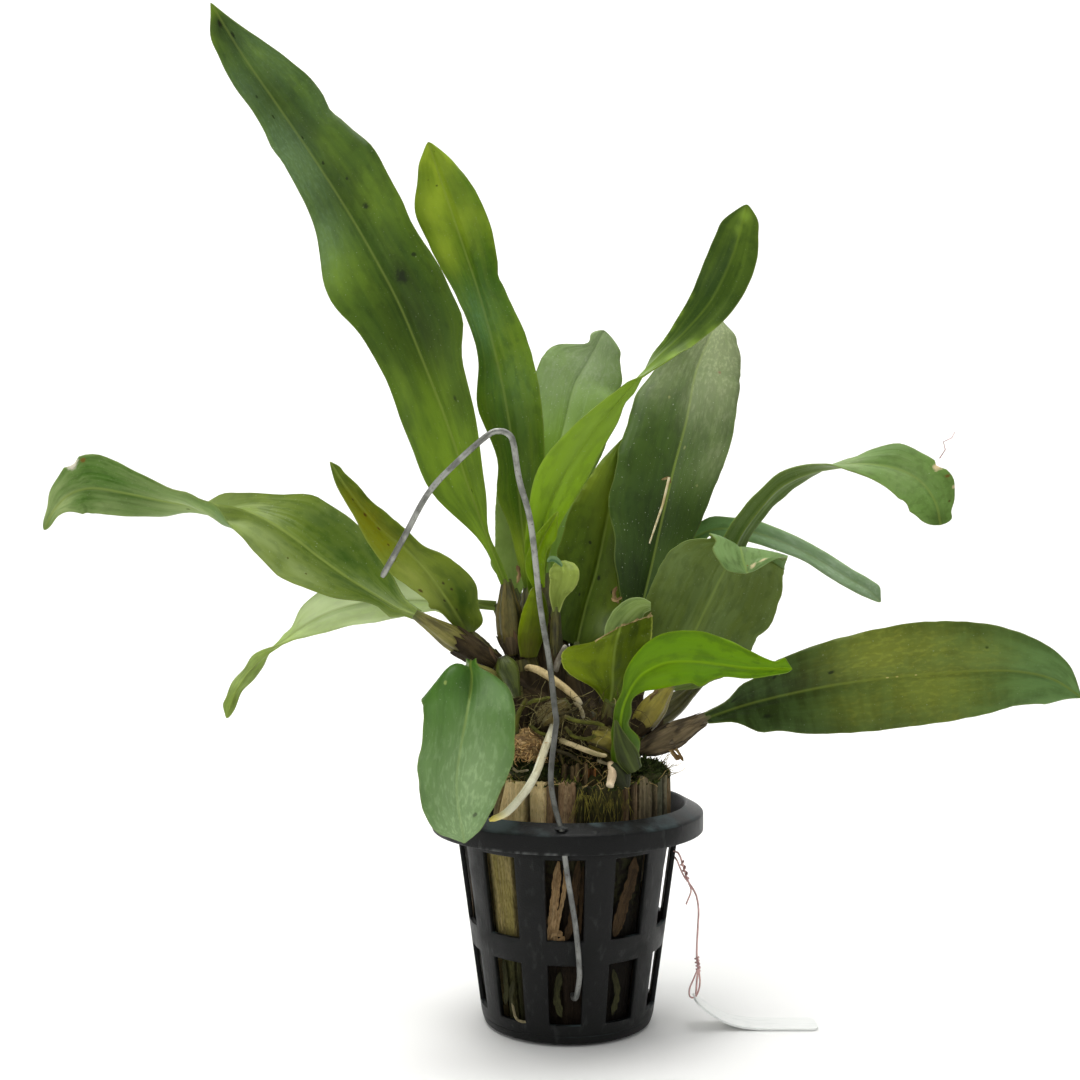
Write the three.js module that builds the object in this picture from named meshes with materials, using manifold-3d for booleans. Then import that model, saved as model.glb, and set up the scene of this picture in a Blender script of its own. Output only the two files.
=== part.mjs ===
// Thecopus maingayi, an orchid with pseudobulbs, growing on coconut husk in a slotted net basket with a wire hanger.
// Millimetres, +Z up, front towards -Y. The origin is the middle of the flat foot of the basket.
import * as THREE from 'three';
import { mergeVertices } from 'three/addons/utils/BufferGeometryUtils.js';
import Module from 'manifold-3d';

const wasm = await Module();
wasm.setup();

// Driving dimensions of the basket
const BASKET_HEIGHT = 68;
const MOUTH_RADIUS = 36.7;
const RIM_RADIUS = 42;
const RIM_FALL = 2.5;
const RIM_BAND = 5.8;
const WALL = 1.6;
const FOOT_RADIUS = 26.6;
const TAPER = 0.1385;
const CORNER = 3;
const SLOTS = 10;
const SLOT_ANGLE = 20;
const FIRST_SLOT = -92.5;
const SLOT_TIERS = [
  { low: 6.7, high: 24.8 },
  { low: 32.3, high: 56.5 },
];
const FLOOR_SLOT = { inner: 9, outer: 21, width: 5 };
const WIRE_HOLE_RADIUS = 1.4;
const BASKET_SIDES = 30;

// Driving dimensions of the filling
const GAP = 0.35;
const FLOOR = 2;
const CHIP_CENTRE = 4.2;
const CHIP_THICKNESS = 5.5;
const CHIP_RADIUS = 28.3;
const CHIP_LOW = 47;
const CHIP_STRAIGHT = 60;
const CHIP_LEAN = 0.165;

// Driving dimensions of the leaves and wires
const LEAF_THICKNESS = 0.8;
const STALK_THICKNESS = 2;
const KEEL = 0.45;
const WIRE_DIAMETER = 1.6;
const TIE_DIAMETER = 0.6;
const HANGER_STEPS = 50;
const TIE_STEPS = 20;

const radians = THREE.MathUtils.degToRad;
const vector = (p) => new THREE.Vector3(p[0], p[1], p[2]);

// Solids

function weld(geometry) {
  const plain = geometry.index ? geometry.toNonIndexed() : geometry.clone();
  plain.deleteAttribute('normal');
  plain.deleteAttribute('uv');
  return mergeVertices(plain, 1e-3);
}

function toSolid(geometry) {
  const welded = weld(geometry);
  const triVerts = new Uint32Array(welded.index.array);
  const vertProperties = welded.attributes.position.array;
  const solid = new wasm.Manifold(new wasm.Mesh({ numProp: 3, vertProperties, triVerts }));
  if (solid.volume() > 0) return solid;
  for (let i = 0; i < triVerts.length; i += 3) triVerts.subarray(i, i + 2).reverse();
  return new wasm.Manifold(new wasm.Mesh({ numProp: 3, vertProperties, triVerts }));
}

function toGeometry(solid) {
  const mesh = solid.getMesh();
  const position = new Float32Array(mesh.numVert * 3);
  for (let i = 0; i < mesh.numVert; i += 1) {
    position.set(mesh.vertProperties.subarray(i * mesh.numProp, i * mesh.numProp + 3), i * 3);
  }
  const geometry = new THREE.BufferGeometry();
  geometry.setAttribute('position', new THREE.BufferAttribute(position, 3));
  geometry.setIndex(new THREE.BufferAttribute(mesh.triVerts, 1));
  geometry.computeVertexNormals();
  return geometry;
}

function join(solids) {
  return solids.reduce((sum, solid) => sum.add(solid));
}

function largest(solid) {
  return solid.decompose().reduce((a, b) => (a.volume() > b.volume() ? a : b));
}

// A closed body from rows of points, each row a ring of the same length
function loft(rings) {
  const count = rings[0].length;
  const middle = (ring) => ring.reduce((sum, p) => sum.add(p), new THREE.Vector3()).divideScalar(count);
  const points = [...rings.flat(), middle(rings[0]), middle(rings[rings.length - 1])];
  const start = points.length - 2;
  const end = points.length - 1;
  const index = [];
  for (let i = 0; i + 1 < rings.length; i += 1) {
    for (let j = 0; j < count; j += 1) {
      const a = i * count + j;
      const b = i * count + ((j + 1) % count);
      index.push(a, b, b + count, a, b + count, a + count);
    }
  }
  for (let j = 0; j < count; j += 1) {
    const next = (j + 1) % count;
    const last = (rings.length - 1) * count;
    index.push(start, next, j, end, last + j, last + next);
  }
  const geometry = new THREE.BufferGeometry().setFromPoints(points);
  geometry.setIndex(index);
  return toSolid(geometry);
}

// A smooth value between the numbers of a list, at t from 0 to 1
function between(values, t) {
  const x = Math.min(Math.max(t, 0), 1) * (values.length - 1);
  const i = Math.min(Math.floor(x), values.length - 2);
  const f = x - i;
  const b = values[i];
  const c = values[i + 1];
  const a = i > 0 ? values[i - 1] : 2 * b - c;
  const d = i + 2 < values.length ? values[i + 2] : 2 * c - b;
  return b + 0.5 * f * (c - a + f * (2 * a - 5 * b + 4 * c - d + f * (3 * (b - c) + d - a)));
}

function smoothStep(low, high, x) {
  const t = Math.min(Math.max((x - low) / (high - low), 0), 1);
  return t * t * (3 - 2 * t);
}

// A seeded number from -1 to 1 for a place
function jitter(...seeds) {
  const mixed = seeds.reduce((sum, seed, i) => sum + Math.round(seed * 8) * (12.9898 + i * 37.719), 4.1);
  const wild = Math.sin(mixed) * 43758.5453;
  return 2 * (wild - Math.floor(wild)) - 1;
}

// A round stem along points, with its radius at even steps, and ridges that run along it
function stem(points, radii, { sides = 8, rings = 8, ridges = 0, depth = 0, grow = 0 } = {}) {
  const curve = new THREE.CatmullRomCurve3(points.map(vector), false, 'centripetal');
  const frames = curve.computeFrenetFrames(rings, false);
  const list = [];
  for (let i = 0; i <= rings; i += 1) {
    const t = i / rings;
    const centre = curve.getPointAt(t);
    if (grow && i === 0) centre.addScaledVector(frames.tangents[0], -grow);
    if (grow && i === rings) centre.addScaledVector(frames.tangents[rings], grow);
    const radius = Math.max(between(radii, t), 0.3) + grow;
    const ring = [];
    for (let j = 0; j < sides; j += 1) {
      const angle = (j / sides) * 2 * Math.PI;
      const r = radius * (1 + depth * Math.cos(ridges * angle));
      ring.push(centre.clone()
        .addScaledVector(frames.normals[i], Math.cos(angle) * r)
        .addScaledVector(frames.binormals[i], Math.sin(angle) * r));
    }
    list.push(ring);
  }
  return loft(list);
}

// A wire of even thickness along points
function wire(points, diameter, { steps, grow = 0 }) {
  const places = points.map(vector);
  if (grow) {
    const start = places[0].clone().sub(places[1]).setLength(grow);
    places.unshift(places[0].clone().add(start));
  }
  const curve = new THREE.CatmullRomCurve3(places, false, 'centripetal');
  const section = new THREE.Shape();
  section.absarc(0, 0, diameter / 2 + grow, 0, 2 * Math.PI, false);
  const tube = new THREE.ExtrudeGeometry(section, { steps, extrudePath: curve, curveSegments: 4 });
  return toSolid(tube);
}

// A leaf blade on rows of [x, y, z, left half, right half, roll in degrees]. Its upper side faces the front where
// face is 1 and roll is 0. fold lifts the halves off the midrib, curl bends them back and wave ripples the margins.
function blade(rows, {
  face = 1, side = null, fold = 0.3, baseFold = 0.8, curl = 0.18, wave = [0, 0, 0], tip = 0.14,
  stalk = 0.14, steps = 18, across = 4, thickness = LEAF_THICKNESS, base = STALK_THICKNESS,
} = {}) {
  const columns = [0, 1, 2, 3, 4, 5].map((c) => rows.map((row) => row[c] ?? 0));
  const placeAt = (t) => new THREE.Vector3(...[0, 1, 2].map((c) => between(columns[c], t)));
  const rings = [];
  for (let i = 0; i <= steps; i += 1) {
    const t = 1 - (1 - i / steps) ** 1.35;
    const place = placeAt(t);
    const tangent = placeAt(Math.min(t + 0.01, 1)).sub(placeAt(Math.max(t - 0.01, 0))).normalize();
    const flat = side ? vector(side) : new THREE.Vector3(0, 1, 0).cross(tangent);
    flat.addScaledVector(tangent, -flat.dot(tangent)).normalize();
    flat.applyAxisAngle(tangent, radians(between(columns[5], t)));
    const up = flat.clone().cross(tangent).multiplyScalar(face);
    const end = tip > 0 ? Math.max((t - (1 - tip)) / tip, 0) : 0;
    const round = Math.sqrt(Math.max(1 - end * end, 0.004));
    const lift = baseFold + (fold - baseFold) * smoothStep(0, 2 * stalk, t);
    const thick = base + (thickness - base) * smoothStep(0, stalk, t);
    const ramp = smoothStep(0.1, 0.35, t) * (1 - smoothStep(0.9, 1, t));
    const top = [];
    const bottom = [];
    for (let j = 0; j <= across; j += 1) {
      const v = (2 * j) / across - 1;
      const half = Math.max(between(columns[v < 0 ? 3 : 4], t), 0.4) * round;
      const ripple = Math.sin(2 * Math.PI * (wave[1] * t + wave[2] + (v < 0 ? 0.4 : 0)));
      const rise = half * (lift * Math.abs(v) - curl * v * v) + wave[0] * ramp * v * v * ripple;
      const point = place.clone().addScaledVector(flat, v * half).addScaledVector(up, rise);
      const rib = KEEL * (1 - smoothStep(0, 0.4, Math.abs(v))) * Math.min(1, half / 3);
      top.push(point.clone().addScaledVector(up, thick / 2));
      bottom.push(point.clone().addScaledVector(up, -thick / 2 - rib));
    }
    rings.push({ top, bottom });
  }
  return bladeSolid(rings, across);
}

// Top and bottom of a blade are split into triangles alike, so the faces never cross
function bladeSolid(rings, across) {
  const row = across + 1;
  const last = rings.length - 1;
  const points = rings.flatMap((ring) => [...ring.top, ...ring.bottom]);
  const top = (i, j) => i * 2 * row + j;
  const bottom = (i, j) => top(i, j) + row;
  const index = [];
  const quad = (a, b, c, d) => index.push(a, b, c, a, c, d);
  for (let i = 0; i < last; i += 1) {
    for (let j = 0; j < across; j += 1) {
      const turned = j >= across / 2;
      const order = [[i, j], [i, j + 1], [i + 1, j + 1], [i + 1, j]];
      const corners = turned ? [order[1], order[2], order[3], order[0]] : order;
      quad(...corners.map(([a, b]) => top(a, b)));
      const [p, q, r, s] = corners.map(([a, b]) => bottom(a, b));
      index.push(p, r, q, p, s, r);
    }
    quad(top(i, 0), top(i + 1, 0), bottom(i + 1, 0), bottom(i, 0));
    quad(top(i, across), bottom(i, across), bottom(i + 1, across), top(i + 1, across));
  }
  for (let j = 0; j < across; j += 1) {
    quad(top(0, j), bottom(0, j), bottom(0, j + 1), top(0, j + 1));
    quad(top(last, j), top(last, j + 1), bottom(last, j + 1), bottom(last, j));
  }
  const geometry = new THREE.BufferGeometry().setFromPoints(points);
  geometry.setIndex(index);
  return toSolid(geometry);
}

// Scene

const orchid = new THREE.Group();
const solids = new Map();

const FINISH = {
  plastic: new THREE.MeshStandardMaterial({ color: '#24272b', roughness: 0.45, metalness: 0 }),
  wire: new THREE.MeshStandardMaterial({ color: '#7c8084', roughness: 0.5, metalness: 0.9 }),
  copper: new THREE.MeshStandardMaterial({ color: '#b3715f', roughness: 0.4, metalness: 0.9 }),
  label: new THREE.MeshStandardMaterial({ color: '#f1f1ee', roughness: 0.5, metalness: 0 }),
  husk: new THREE.MeshStandardMaterial({ color: '#8a7350', roughness: 0.95, metalness: 0 }),
  bark: new THREE.MeshStandardMaterial({ color: '#8d6038', roughness: 0.95, metalness: 0 }),
  bulb: new THREE.MeshStandardMaterial({ color: '#5f6636', roughness: 0.7, metalness: 0 }),
  leaf: new THREE.MeshStandardMaterial({ color: '#4f7030', roughness: 0.5, metalness: 0 }),
  root: new THREE.MeshStandardMaterial({ color: '#d9cfa6', roughness: 0.7, metalness: 0 }),
};

function add(name, solid, material) {
  const mesh = new THREE.Mesh(toGeometry(solid), material);
  mesh.name = name;
  orchid.add(mesh);
  solids.set(name, solid);
}

// Basket

const bodyRadius = (z) => FOOT_RADIUS + Math.max(z - CORNER, 0) * TAPER;

function lathe(profile, segments) {
  const points = profile.map(([r, z]) => new THREE.Vector2(r, z));
  points.push(points[0].clone());
  const geometry = new THREE.LatheGeometry(points, segments);
  geometry.rotateX(Math.PI / 2);
  geometry.rotateZ(radians(FIRST_SLOT + 180 / SLOTS));
  return toSolid(geometry);
}

function basketShell() {
  const rimTop = BASKET_HEIGHT - RIM_FALL;
  const rimLow = rimTop - RIM_BAND;
  const neck = 59;
  return lathe([
    [0.001, 0],
    [FOOT_RADIUS - CORNER, 0],
    [FOOT_RADIUS - CORNER * 0.3, CORNER * 0.3],
    [FOOT_RADIUS, CORNER],
    [bodyRadius(SLOT_TIERS[0].high), SLOT_TIERS[0].high],
    [bodyRadius(SLOT_TIERS[1].low), SLOT_TIERS[1].low],
    [bodyRadius(neck), neck],
    [bodyRadius(neck) + 1, rimTop - WALL - 0.4],
    [RIM_RADIUS - WALL, rimTop - WALL - 0.6],
    [RIM_RADIUS - WALL + 0.4, rimLow],
    [RIM_RADIUS, rimLow],
    [RIM_RADIUS, rimTop - 0.5],
    [RIM_RADIUS - 0.6, rimTop],
    [MOUTH_RADIUS, BASKET_HEIGHT],
    [bodyRadius(neck) - WALL + 0.4, neck + 1],
    [bodyRadius(CORNER) - WALL, CORNER + 0.4],
    [FOOT_RADIUS - CORNER, FLOOR],
    [0.001, FLOOR],
  ], BASKET_SIDES);
}

function slotCutter(low, high, angle) {
  const middle = (low + high) / 2;
  const box = new THREE.BoxGeometry(12, 1, high - low);
  const position = box.attributes.position;
  for (let i = 0; i < position.count; i += 1) {
    const radius = bodyRadius(middle + position.getZ(i));
    position.setY(i, Math.sign(position.getY(i)) * radius * Math.sin(radians(SLOT_ANGLE / 2)));
    position.setX(i, radius + position.getX(i));
  }
  box.rotateZ(radians(angle));
  box.translate(0, 0, middle);
  return toSolid(box);
}

function floorCutter(angle) {
  const box = new THREE.BoxGeometry(FLOOR_SLOT.outer - FLOOR_SLOT.inner, FLOOR_SLOT.width, 3 * FLOOR);
  box.translate((FLOOR_SLOT.outer + FLOOR_SLOT.inner) / 2, 0, FLOOR / 2);
  box.rotateZ(radians(angle));
  return toSolid(box);
}

const HANGER_POINTS = [
  [1, -23, 15],
  [1.3, -26, 14.6],
  [2, -29.2, 16],
  [2.6, -31, 20],
  [2.8, -31.9, 25],
  [1.6, -33.6, 38],
  [-0.6, -36, 52],
  [-1.8, -38.6, 61],
  [-2.5, -39.5, 66.5],
  [-4.5, -41, 74],
  [-5.5, -43.5, 82.5],
  [-4.5, -47, 94],
  [-4, -48.5, 98.5],
  [-4.5, -49.5, 102.5],
  [-6, -53.5, 115.5],
  [-8.5, -58, 131],
  [-11, -65, 153],
  [-14, -68.5, 164.5],
  [-15.5, -71.5, 174],
  [-17, -72, 176.4],
  [-19.2, -72.5, 177],
  [-22, -73, 176],
  [-29.5, -73, 169.5],
  [-37.5, -72.5, 161],
  [-44, -71, 149.5],
  [-50, -69, 139],
];

function wireHole() {
  const drill = new THREE.CylinderGeometry(WIRE_HOLE_RADIUS, WIRE_HOLE_RADIUS, 14, 12);
  drill.rotateX(Math.PI / 2);
  drill.rotateX(radians(8));
  drill.translate(-2.2, -39.1, 64);
  return toSolid(drill);
}

function basket() {
  const cutters = [wireHole()];
  for (let i = 0; i < SLOTS; i += 1) {
    const angle = FIRST_SLOT + (i * 360) / SLOTS;
    SLOT_TIERS.forEach(({ low, high }) => cutters.push(slotCutter(low, high, angle)));
    if (i % 2 === 1) cutters.push(floorCutter(angle));
  }
  return basketShell().subtract(join(cutters));
}

add('basket', basket(), FINISH.plastic);
add('hanger_wire', wire(HANGER_POINTS, WIRE_DIAMETER, { steps: HANGER_STEPS }), FINISH.wire);

// Tie wire and label

const TIE_POINTS = [
  [32.4, -6.55, 53.4],
  [34, -7.1, 52.6],
  [35.4, -7.1, 48.5],
  [36.8, -7, 44.2],
  [38.2, -7, 42],
  [39.4, -7, 39.5],
  [40, -7, 35.5],
  [39.8, -7, 30.5],
  [39.5, -7, 24.5],
  [39.5, -7, 20],
  [39.9, -7, 17.5],
  [39.5, -7, 14],
  [39.2, -7, 9.5],
];
const LABEL_WIDTH = 10;
const LABEL_THICKNESS = 0.6;
const LABEL_POINTS = [
  [38.6, 8.95],
  [42, 6],
  [46, 3.4],
  [51, 1.5],
  [57, 0.6],
  [64, 0.5],
  [76, 0.5],
];

function labelStrip() {
  const curve = new THREE.CatmullRomCurve3(LABEL_POINTS.map(([x, z]) => new THREE.Vector3(x, 0, z)));
  const rings = [];
  for (let i = 0; i <= 12; i += 1) {
    const place = curve.getPointAt(i / 12);
    const along = curve.getTangentAt(i / 12);
    const up = new THREE.Vector3(-along.z, 0, along.x).multiplyScalar(LABEL_THICKNESS / 2);
    rings.push([[1, 1], [1, -1], [-1, -1], [-1, 1]].map(([y, n]) => place.clone()
      .addScaledVector(up, n).add(new THREE.Vector3(0, -7 + (y * LABEL_WIDTH) / 2, 0))));
  }
  return loft(rings);
}

add('tie_wire', wire(TIE_POINTS, TIE_DIAMETER, { steps: TIE_STEPS }), FINISH.copper);
add('plant_label', labelStrip(), FINISH.label);

// Pseudobulbs: the path of each axis and its thickest radius

const BULBS = {
  bulb_tall: { path: [[-17, -2.5, 113], [-18, -2.5, 124], [-18.8, -2, 134.4]], radius: 4.4 },
  bulb_left: { path: [[-22, -9, 110.6], [-33, -11.5, 117.6], [-44.6, -13, 125.2]], radius: 3.5 },
  bulb_hanging: { path: [[-18.5, -8.5, 102], [-23.6, -12, 106.8], [-28.4, -15, 110.4]], radius: 2.6 },
  bulb_old: { path: [[-8.2, -13, 91], [-5.8, -13.5, 95], [-1.6, -13, 98.4]], radius: 4 },
  bulb_yellow: { path: [[5, -15.5, 91.5], [10, -17, 89], [15, -17.5, 86.8]], radius: 3.8 },
  bulb_right: { path: [[20.4, -9, 89.6], [25, -9, 96], [30.2, -8.4, 102.9]], radius: 3.8 },
  bulb_dark: { path: [[21, 0, 87.6], [32, 4.6, 95.6], [41.6, 5, 103.9]], radius: 3.6 },
  bulb_brown: { path: [[21.4, -11, 84.6], [31, -12, 89.2], [41, -12, 94.6]], radius: 3.4 },
};

const bulbRadii = (radius) => [0.45 * radius, 0.88 * radius, radius, 0.92 * radius, 0.62 * radius, 1.5];

function bulb({ path, radius }, grow = 0) {
  const ribs = grow ? {} : { ridges: 6, depth: 0.07 };
  return stem(path, bulbRadii(radius * (grow ? 1.07 : 1)), { sides: 12, rings: 6, ...ribs, grow });
}

Object.entries(BULBS).forEach(([name, shape]) => add(name, bulb(shape), FINISH.bulb));

// Leaves, each in rows of [x, y, z, left half, right half, roll]

const LEAVES = {
  leaf_tall_left: {
    rows: [
      [-19.3, -2, 135.3, 1.6, 1.6],
      [-25, -1, 150, 3.4, 3],
      [-31, 0, 166, 10.3, 5.4],
      [-37.5, 2, 185, 13, 9.3],
      [-45, 5, 204, 13.1, 12.1],
      [-53, 8, 223, 15.2, 16.6],
      [-62, 11, 240, 16.3, 15.9],
      [-72, 14, 257, 11.4, 17.2],
      [-83, 16, 274, 9.2, 14.9],
      [-94, 17, 290, 7.8, 13],
      [-105, 17, 306, 7.6, 8],
      [-114.5, 15, 321.5, 2, 2],
    ],
    wave: [1.6, 3.5, 0.1],
    steps: 21,
  },
  leaf_tall_middle: {
    rows: [
      [-12, 10, 133.4, 1.6, 1.6],
      [-14, 12, 150, 3.5, 4.5],
      [-16.5, 15, 173, 5, 9.5],
      [-20, 18, 195, 7.6, 11.6],
      [-24, 22, 213, 5.6, 11],
      [-29, 26, 231, 7.5, 8.6],
      [-35, 30, 249, 10.4, 10.8],
      [-41, 33, 267, 9.3, 9],
      [-46, 34, 282, 4, 4],
    ],
    wave: [0.8, 2.5, 0.3],
    tip: 0.2,
    steps: 16,
  },
  leaf_back_dusty: {
    rows: [
      [-5.6, 17, 136.4, 1.6, 1.6],
      [-5, 27, 156, 5, 8],
      [-3, 34, 175, 7.5, 13],
      [0, 42, 188, 11, 15.5],
      [3.6, 50, 202, 14.4, 15.8],
      [8.4, 55, 211, 13.4, 12],
      [13.6, 57.4, 218.6, 4, 6.6],
    ],
    wave: [1, 2, 0],
    tip: 0.1,
    steps: 13,
  },
  leaf_bright_twisted: {
    rows: [
      [-9.6, 0, 130, 2.2, 2.2, 0],
      [-9.4, 0, 142.5, 4, 3.2, 0],
      [-7, 0, 155, 5.6, 5, 0],
      [-1.7, 1, 167.5, 8.2, 6.8, 0],
      [7.6, 2, 181.5, 6.6, 5.4, 20],
      [16.4, 1, 192.4, 5.2, 4.8, 50],
      [22.9, 0, 199.8, 5, 5, 92],
      [30.9, -1, 207.8, 4.8, 4.8, 126],
      [37.6, -2, 214.4, 5.9, 5.9, 150],
      [44.5, -4, 222.6, 7.3, 7.3, 162],
      [49.6, -5, 233, 7.8, 7.8, 170],
      [52.6, -6, 242.4, 6.6, 6.6, 176],
      [54.8, -7, 251.4, 3.8, 3.8, 180],
    ],
    fold: 0.25,
    steps: 21,
  },
  leaf_broad_dark: {
    rows: [
      [23, 8, 125.4, 1.8, 1.8],
      [27, 12, 140, 9, 7.6],
      [31, 17, 156, 15.7, 12.2],
      [35, 23, 171, 18, 14.1],
      [40, 30, 188, 17.7, 15.4],
      [44, 38, 205, 12.6, 15.4],
      [48.6, 43, 216, 7.6, 12.4],
      [53, 47, 225.5, 2, 3],
    ],
    wave: [0.8, 2, 0.2],
    curl: 0.24,
    steps: 16,
  },
  leaf_olive_back: {
    rows: [
      [3, 10, 114.9, 1.8, 1.8],
      [6, 14, 127, 8.6, 8],
      [10, 17.6, 140, 12.6, 10],
      [13, 20.4, 154, 12.7, 8],
      [16, 22, 168, 8.2, 6],
      [18.6, 26.6, 182, 1.6, 1.6],
    ],
    steps: 11,
  },
  leaf_back_pale: {
    rows: [
      [-16.2, 18.6, 131.4, 1.6, 1.6],
      [-15.8, 19.5, 143, 6.4, 5],
      [-17, 21, 154, 6.2, 6],
      [-18, 22, 165, 4.8, 4.4],
      [-20.6, 24, 176, 1.4, 1.4],
    ],
    steps: 10,
  },
  leaf_far_left: {
    rows: [
      [-45.8, -13.1, 126, 1.6, 1.6, 0],
      [-52.5, -9, 128.4, 2, 3.6, 0],
      [-61, -5, 133, 3.8, 9, 0],
      [-69.5, -1, 138, 8.2, 14, 0],
      [-78, 2, 143.7, 10.3, 15.5, 0],
      [-86, 4, 149.6, 10.3, 14.4, 5],
      [-96, 6, 155.4, 9.5, 10, 28],
      [-105.6, 6, 158.4, 7, 7.6, 60],
      [-114.6, 5, 159.6, 6.5, 6.5, 96],
      [-125.8, 2, 161, 6, 6.6, 138],
      [-137, -2, 163.2, 8.2, 7.5, 162],
      [-146.4, -5, 164.6, 10.6, 7.8, 172],
      [-152.6, -7, 162.6, 7.6, 6.2, 176],
      [-157, -8, 157.6, 2.4, 2.2, 180],
      [-160, -8, 151.8, 1.4, 1.4, 180],
    ],
    face: -1,
    fold: 0.22,
    tip: 0.05,
    steps: 25,
  },
  leaf_left_low: {
    rows: [
      [-22.4, 6, 128, 1.5, 1.5, 0],
      [-31, 7, 128.8, 1.7, 1.7, 0],
      [-41.2, 8, 129.4, 3, 5, 0],
      [-53, 9, 129.7, 5.6, 9.6, 0],
      [-64, 9, 129, 7.2, 9.6, 0],
      [-75, 8, 126, 6.6, 7.4, 0],
      [-84, 6, 121, 3.8, 4.6, 15],
      [-90, 3, 116, 2, 2, 70],
      [-96.5, 1, 111, 2.8, 2.8, 150],
      [-101.8, -1, 103.6, 2.8, 2.8, 180],
      [-105.4, -3, 93.6, 1.6, 1.6, 180],
    ],
    tip: 0.08,
    steps: 18,
  },
  leaf_left_spotted: {
    rows: [
      [-31.4, -3.3, 120.8, 1.5, 1.5],
      [-33.8, -7, 125.6, 3, 6],
      [-37.7, -11, 132, 4.6, 9.6],
      [-42.6, -14, 139, 7, 8],
      [-48.7, -16, 145.7, 8.2, 5.2],
      [-55.8, -17, 151.6, 5.7, 4.9],
      [-61.7, -18, 158.3, 3.4, 4.5],
      [-67, -19, 165.4, 2.2, 2.8],
      [-71, -19.5, 172, 1, 1],
    ],
    stalk: 0.1,
    steps: 15,
  },
  leaf_hanging_front: {
    rows: [
      [-29.2, -16.3, 111.4, 1.5, 1.5],
      [-29.2, -22, 113.6, 2, 2],
      [-28.4, -29.6, 113, 6.6, 6.6],
      [-28.3, -36.4, 107.6, 11, 11],
      [-29, -43, 100, 12.2, 13.6],
      [-30.6, -47, 91, 10.8, 15],
      [-31.6, -49, 82.5, 10.4, 13.6],
      [-31.2, -49, 75, 9.6, 10.4],
      [-30.2, -47.5, 68.6, 6.8, 6],
      [-29.6, -46, 64.4, 2, 2],
    ],
    side: [1, 0, 0],
    face: -1,
    fold: 0.26,
    steps: 18,
  },
  leaf_right_arching: {
    rows: [
      [42.4, 5, 104.9, 1.6, 1.6, 0],
      [45.7, 6, 120.3, 3, 3, 0],
      [48.7, 5, 134.5, 5, 5, 15],
      [52.4, 3, 147, 5.4, 5, 35],
      [57.6, 1, 156.2, 5.4, 5.4, 42],
      [65.4, 0, 165, 5.8, 5.4, 48],
      [74.6, -1, 169.5, 5, 5, 62],
      [82.8, -2, 171.5, 5, 5, 92],
      [91.6, -4, 172, 6, 6, 132],
      [100, -7, 170.6, 7, 7, 160],
      [107, -10, 166.6, 8.2, 7.8, 172],
      [111, -12, 160.4, 7, 6.4, 178],
      [112.4, -13, 153.2, 4.6, 4.6, 180],
    ],
    face: -1,
    fold: 0.25,
    tip: 0.03,
    stalk: 0.1,
    steps: 23,
  },
  leaf_right_narrow: {
    rows: [
      [24.6, 22.1, 129.7, 1.5, 1.5],
      [30.8, 24, 138.4, 2.2, 2.2],
      [39, 25, 147, 3.4, 2.8],
      [48, 25, 152, 3, 3],
      [58.7, 24, 151.8, 4, 3.4],
      [69.8, 22, 148.4, 3.6, 3.4],
      [81, 20, 142.8, 3.4, 3.2],
      [90.3, 17, 136.8, 3.2, 3],
      [96.4, 15, 133, 3, 2.8],
      [100.8, 14, 128.8, 1.6, 1.6],
    ],
    steps: 16,
  },
  leaf_right_low: {
    rows: [
      [41.8, -12, 95, 1.7, 1.7],
      [53, -13, 98.8, 4, 4.8],
      [66, -14, 102.2, 10.6, 11.6],
      [80, -14, 105, 13.4, 14.4],
      [94, -14, 107, 14.6, 15.2],
      [108, -13, 108.2, 15.5, 14.9],
      [122, -12, 109, 15, 13.4],
      [136, -10, 108.8, 11.9, 10.5],
      [148, -8, 106.2, 7.4, 7.6],
      [157.6, -6, 100.4, 2, 2],
    ],
    wave: [0.7, 2.5, 0.5],
    steps: 16,
  },
  leaf_right_folded: {
    rows: [
      [30.8, -8.2, 103.6, 1.6, 1.6],
      [35.5, -7, 113.5, 9.6, 13],
      [40, -6.4, 123, 16.6, 19.4],
      [43.3, -6.6, 130, 18.2, 20.4],
      [47, -8, 138, 17.6, 19.4],
      [49.8, -11, 144.6, 13, 17],
      [51.2, -15, 146.4, 10.6, 14.6],
      [52, -18.6, 142.6, 8, 11],
      [53, -20, 138.8, 3.4, 5],
    ],
    side: [0.93, 0, -0.37],
    face: -1,
    fold: 0.2,
    tip: 0.08,
    steps: 18,
    across: 6,
  },
  leaf_cut_front: {
    rows: [
      [12.4, -16.4, 99.6, 1.7, 1.7],
      [13, -17.6, 104.6, 7, 4.4],
      [13.2, -18.4, 110.6, 13.4, 8.4],
      [13.8, -18.4, 116.4, 12.4, 10.2],
      [15.4, -17.4, 122.6, 8, 8.6],
    ],
    face: -1,
    tip: 0,
    stalk: 0.18,
    steps: 10,
  },
  leaf_bright_front: {
    rows: [
      [16.6, -25.4, 82, 3.4, 3.6],
      [15.6, -26, 89, 4.4, 6],
      [15, -27, 96, 3.8, 4.6],
      [16.6, -29.4, 103, 3.6, 3.2],
      [20.4, -33, 109.6, 5, 5.6],
      [27, -37, 113.6, 8, 6.8],
      [34.4, -41, 114.4, 8.8, 6],
      [42, -44, 113.8, 7.6, 4.6],
      [50, -46, 113, 4.8, 3],
      [56.6, -46.6, 112.9, 2, 1.8],
      [61.6, -46, 112.8, 0.9, 0.9],
    ],
    baseFold: -0.9,
    stalk: 0.16,
    base: 1.2,
    tip: 0.04,
    steps: 20,
  },
  leaf_young: {
    rows: [
      [-8.8, -5.2, 134, 1.8, 1.8],
      [-10, -5.6, 141, 3.2, 3],
      [-8.2, -6, 148, 2.6, 2.2],
      [-5, -6.4, 154, 1.4, 1.4],
      [-3, -6.6, 157.4, 0.6, 0.6],
    ],
    fold: 0.6,
    base: 1.4,
    steps: 8,
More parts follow.
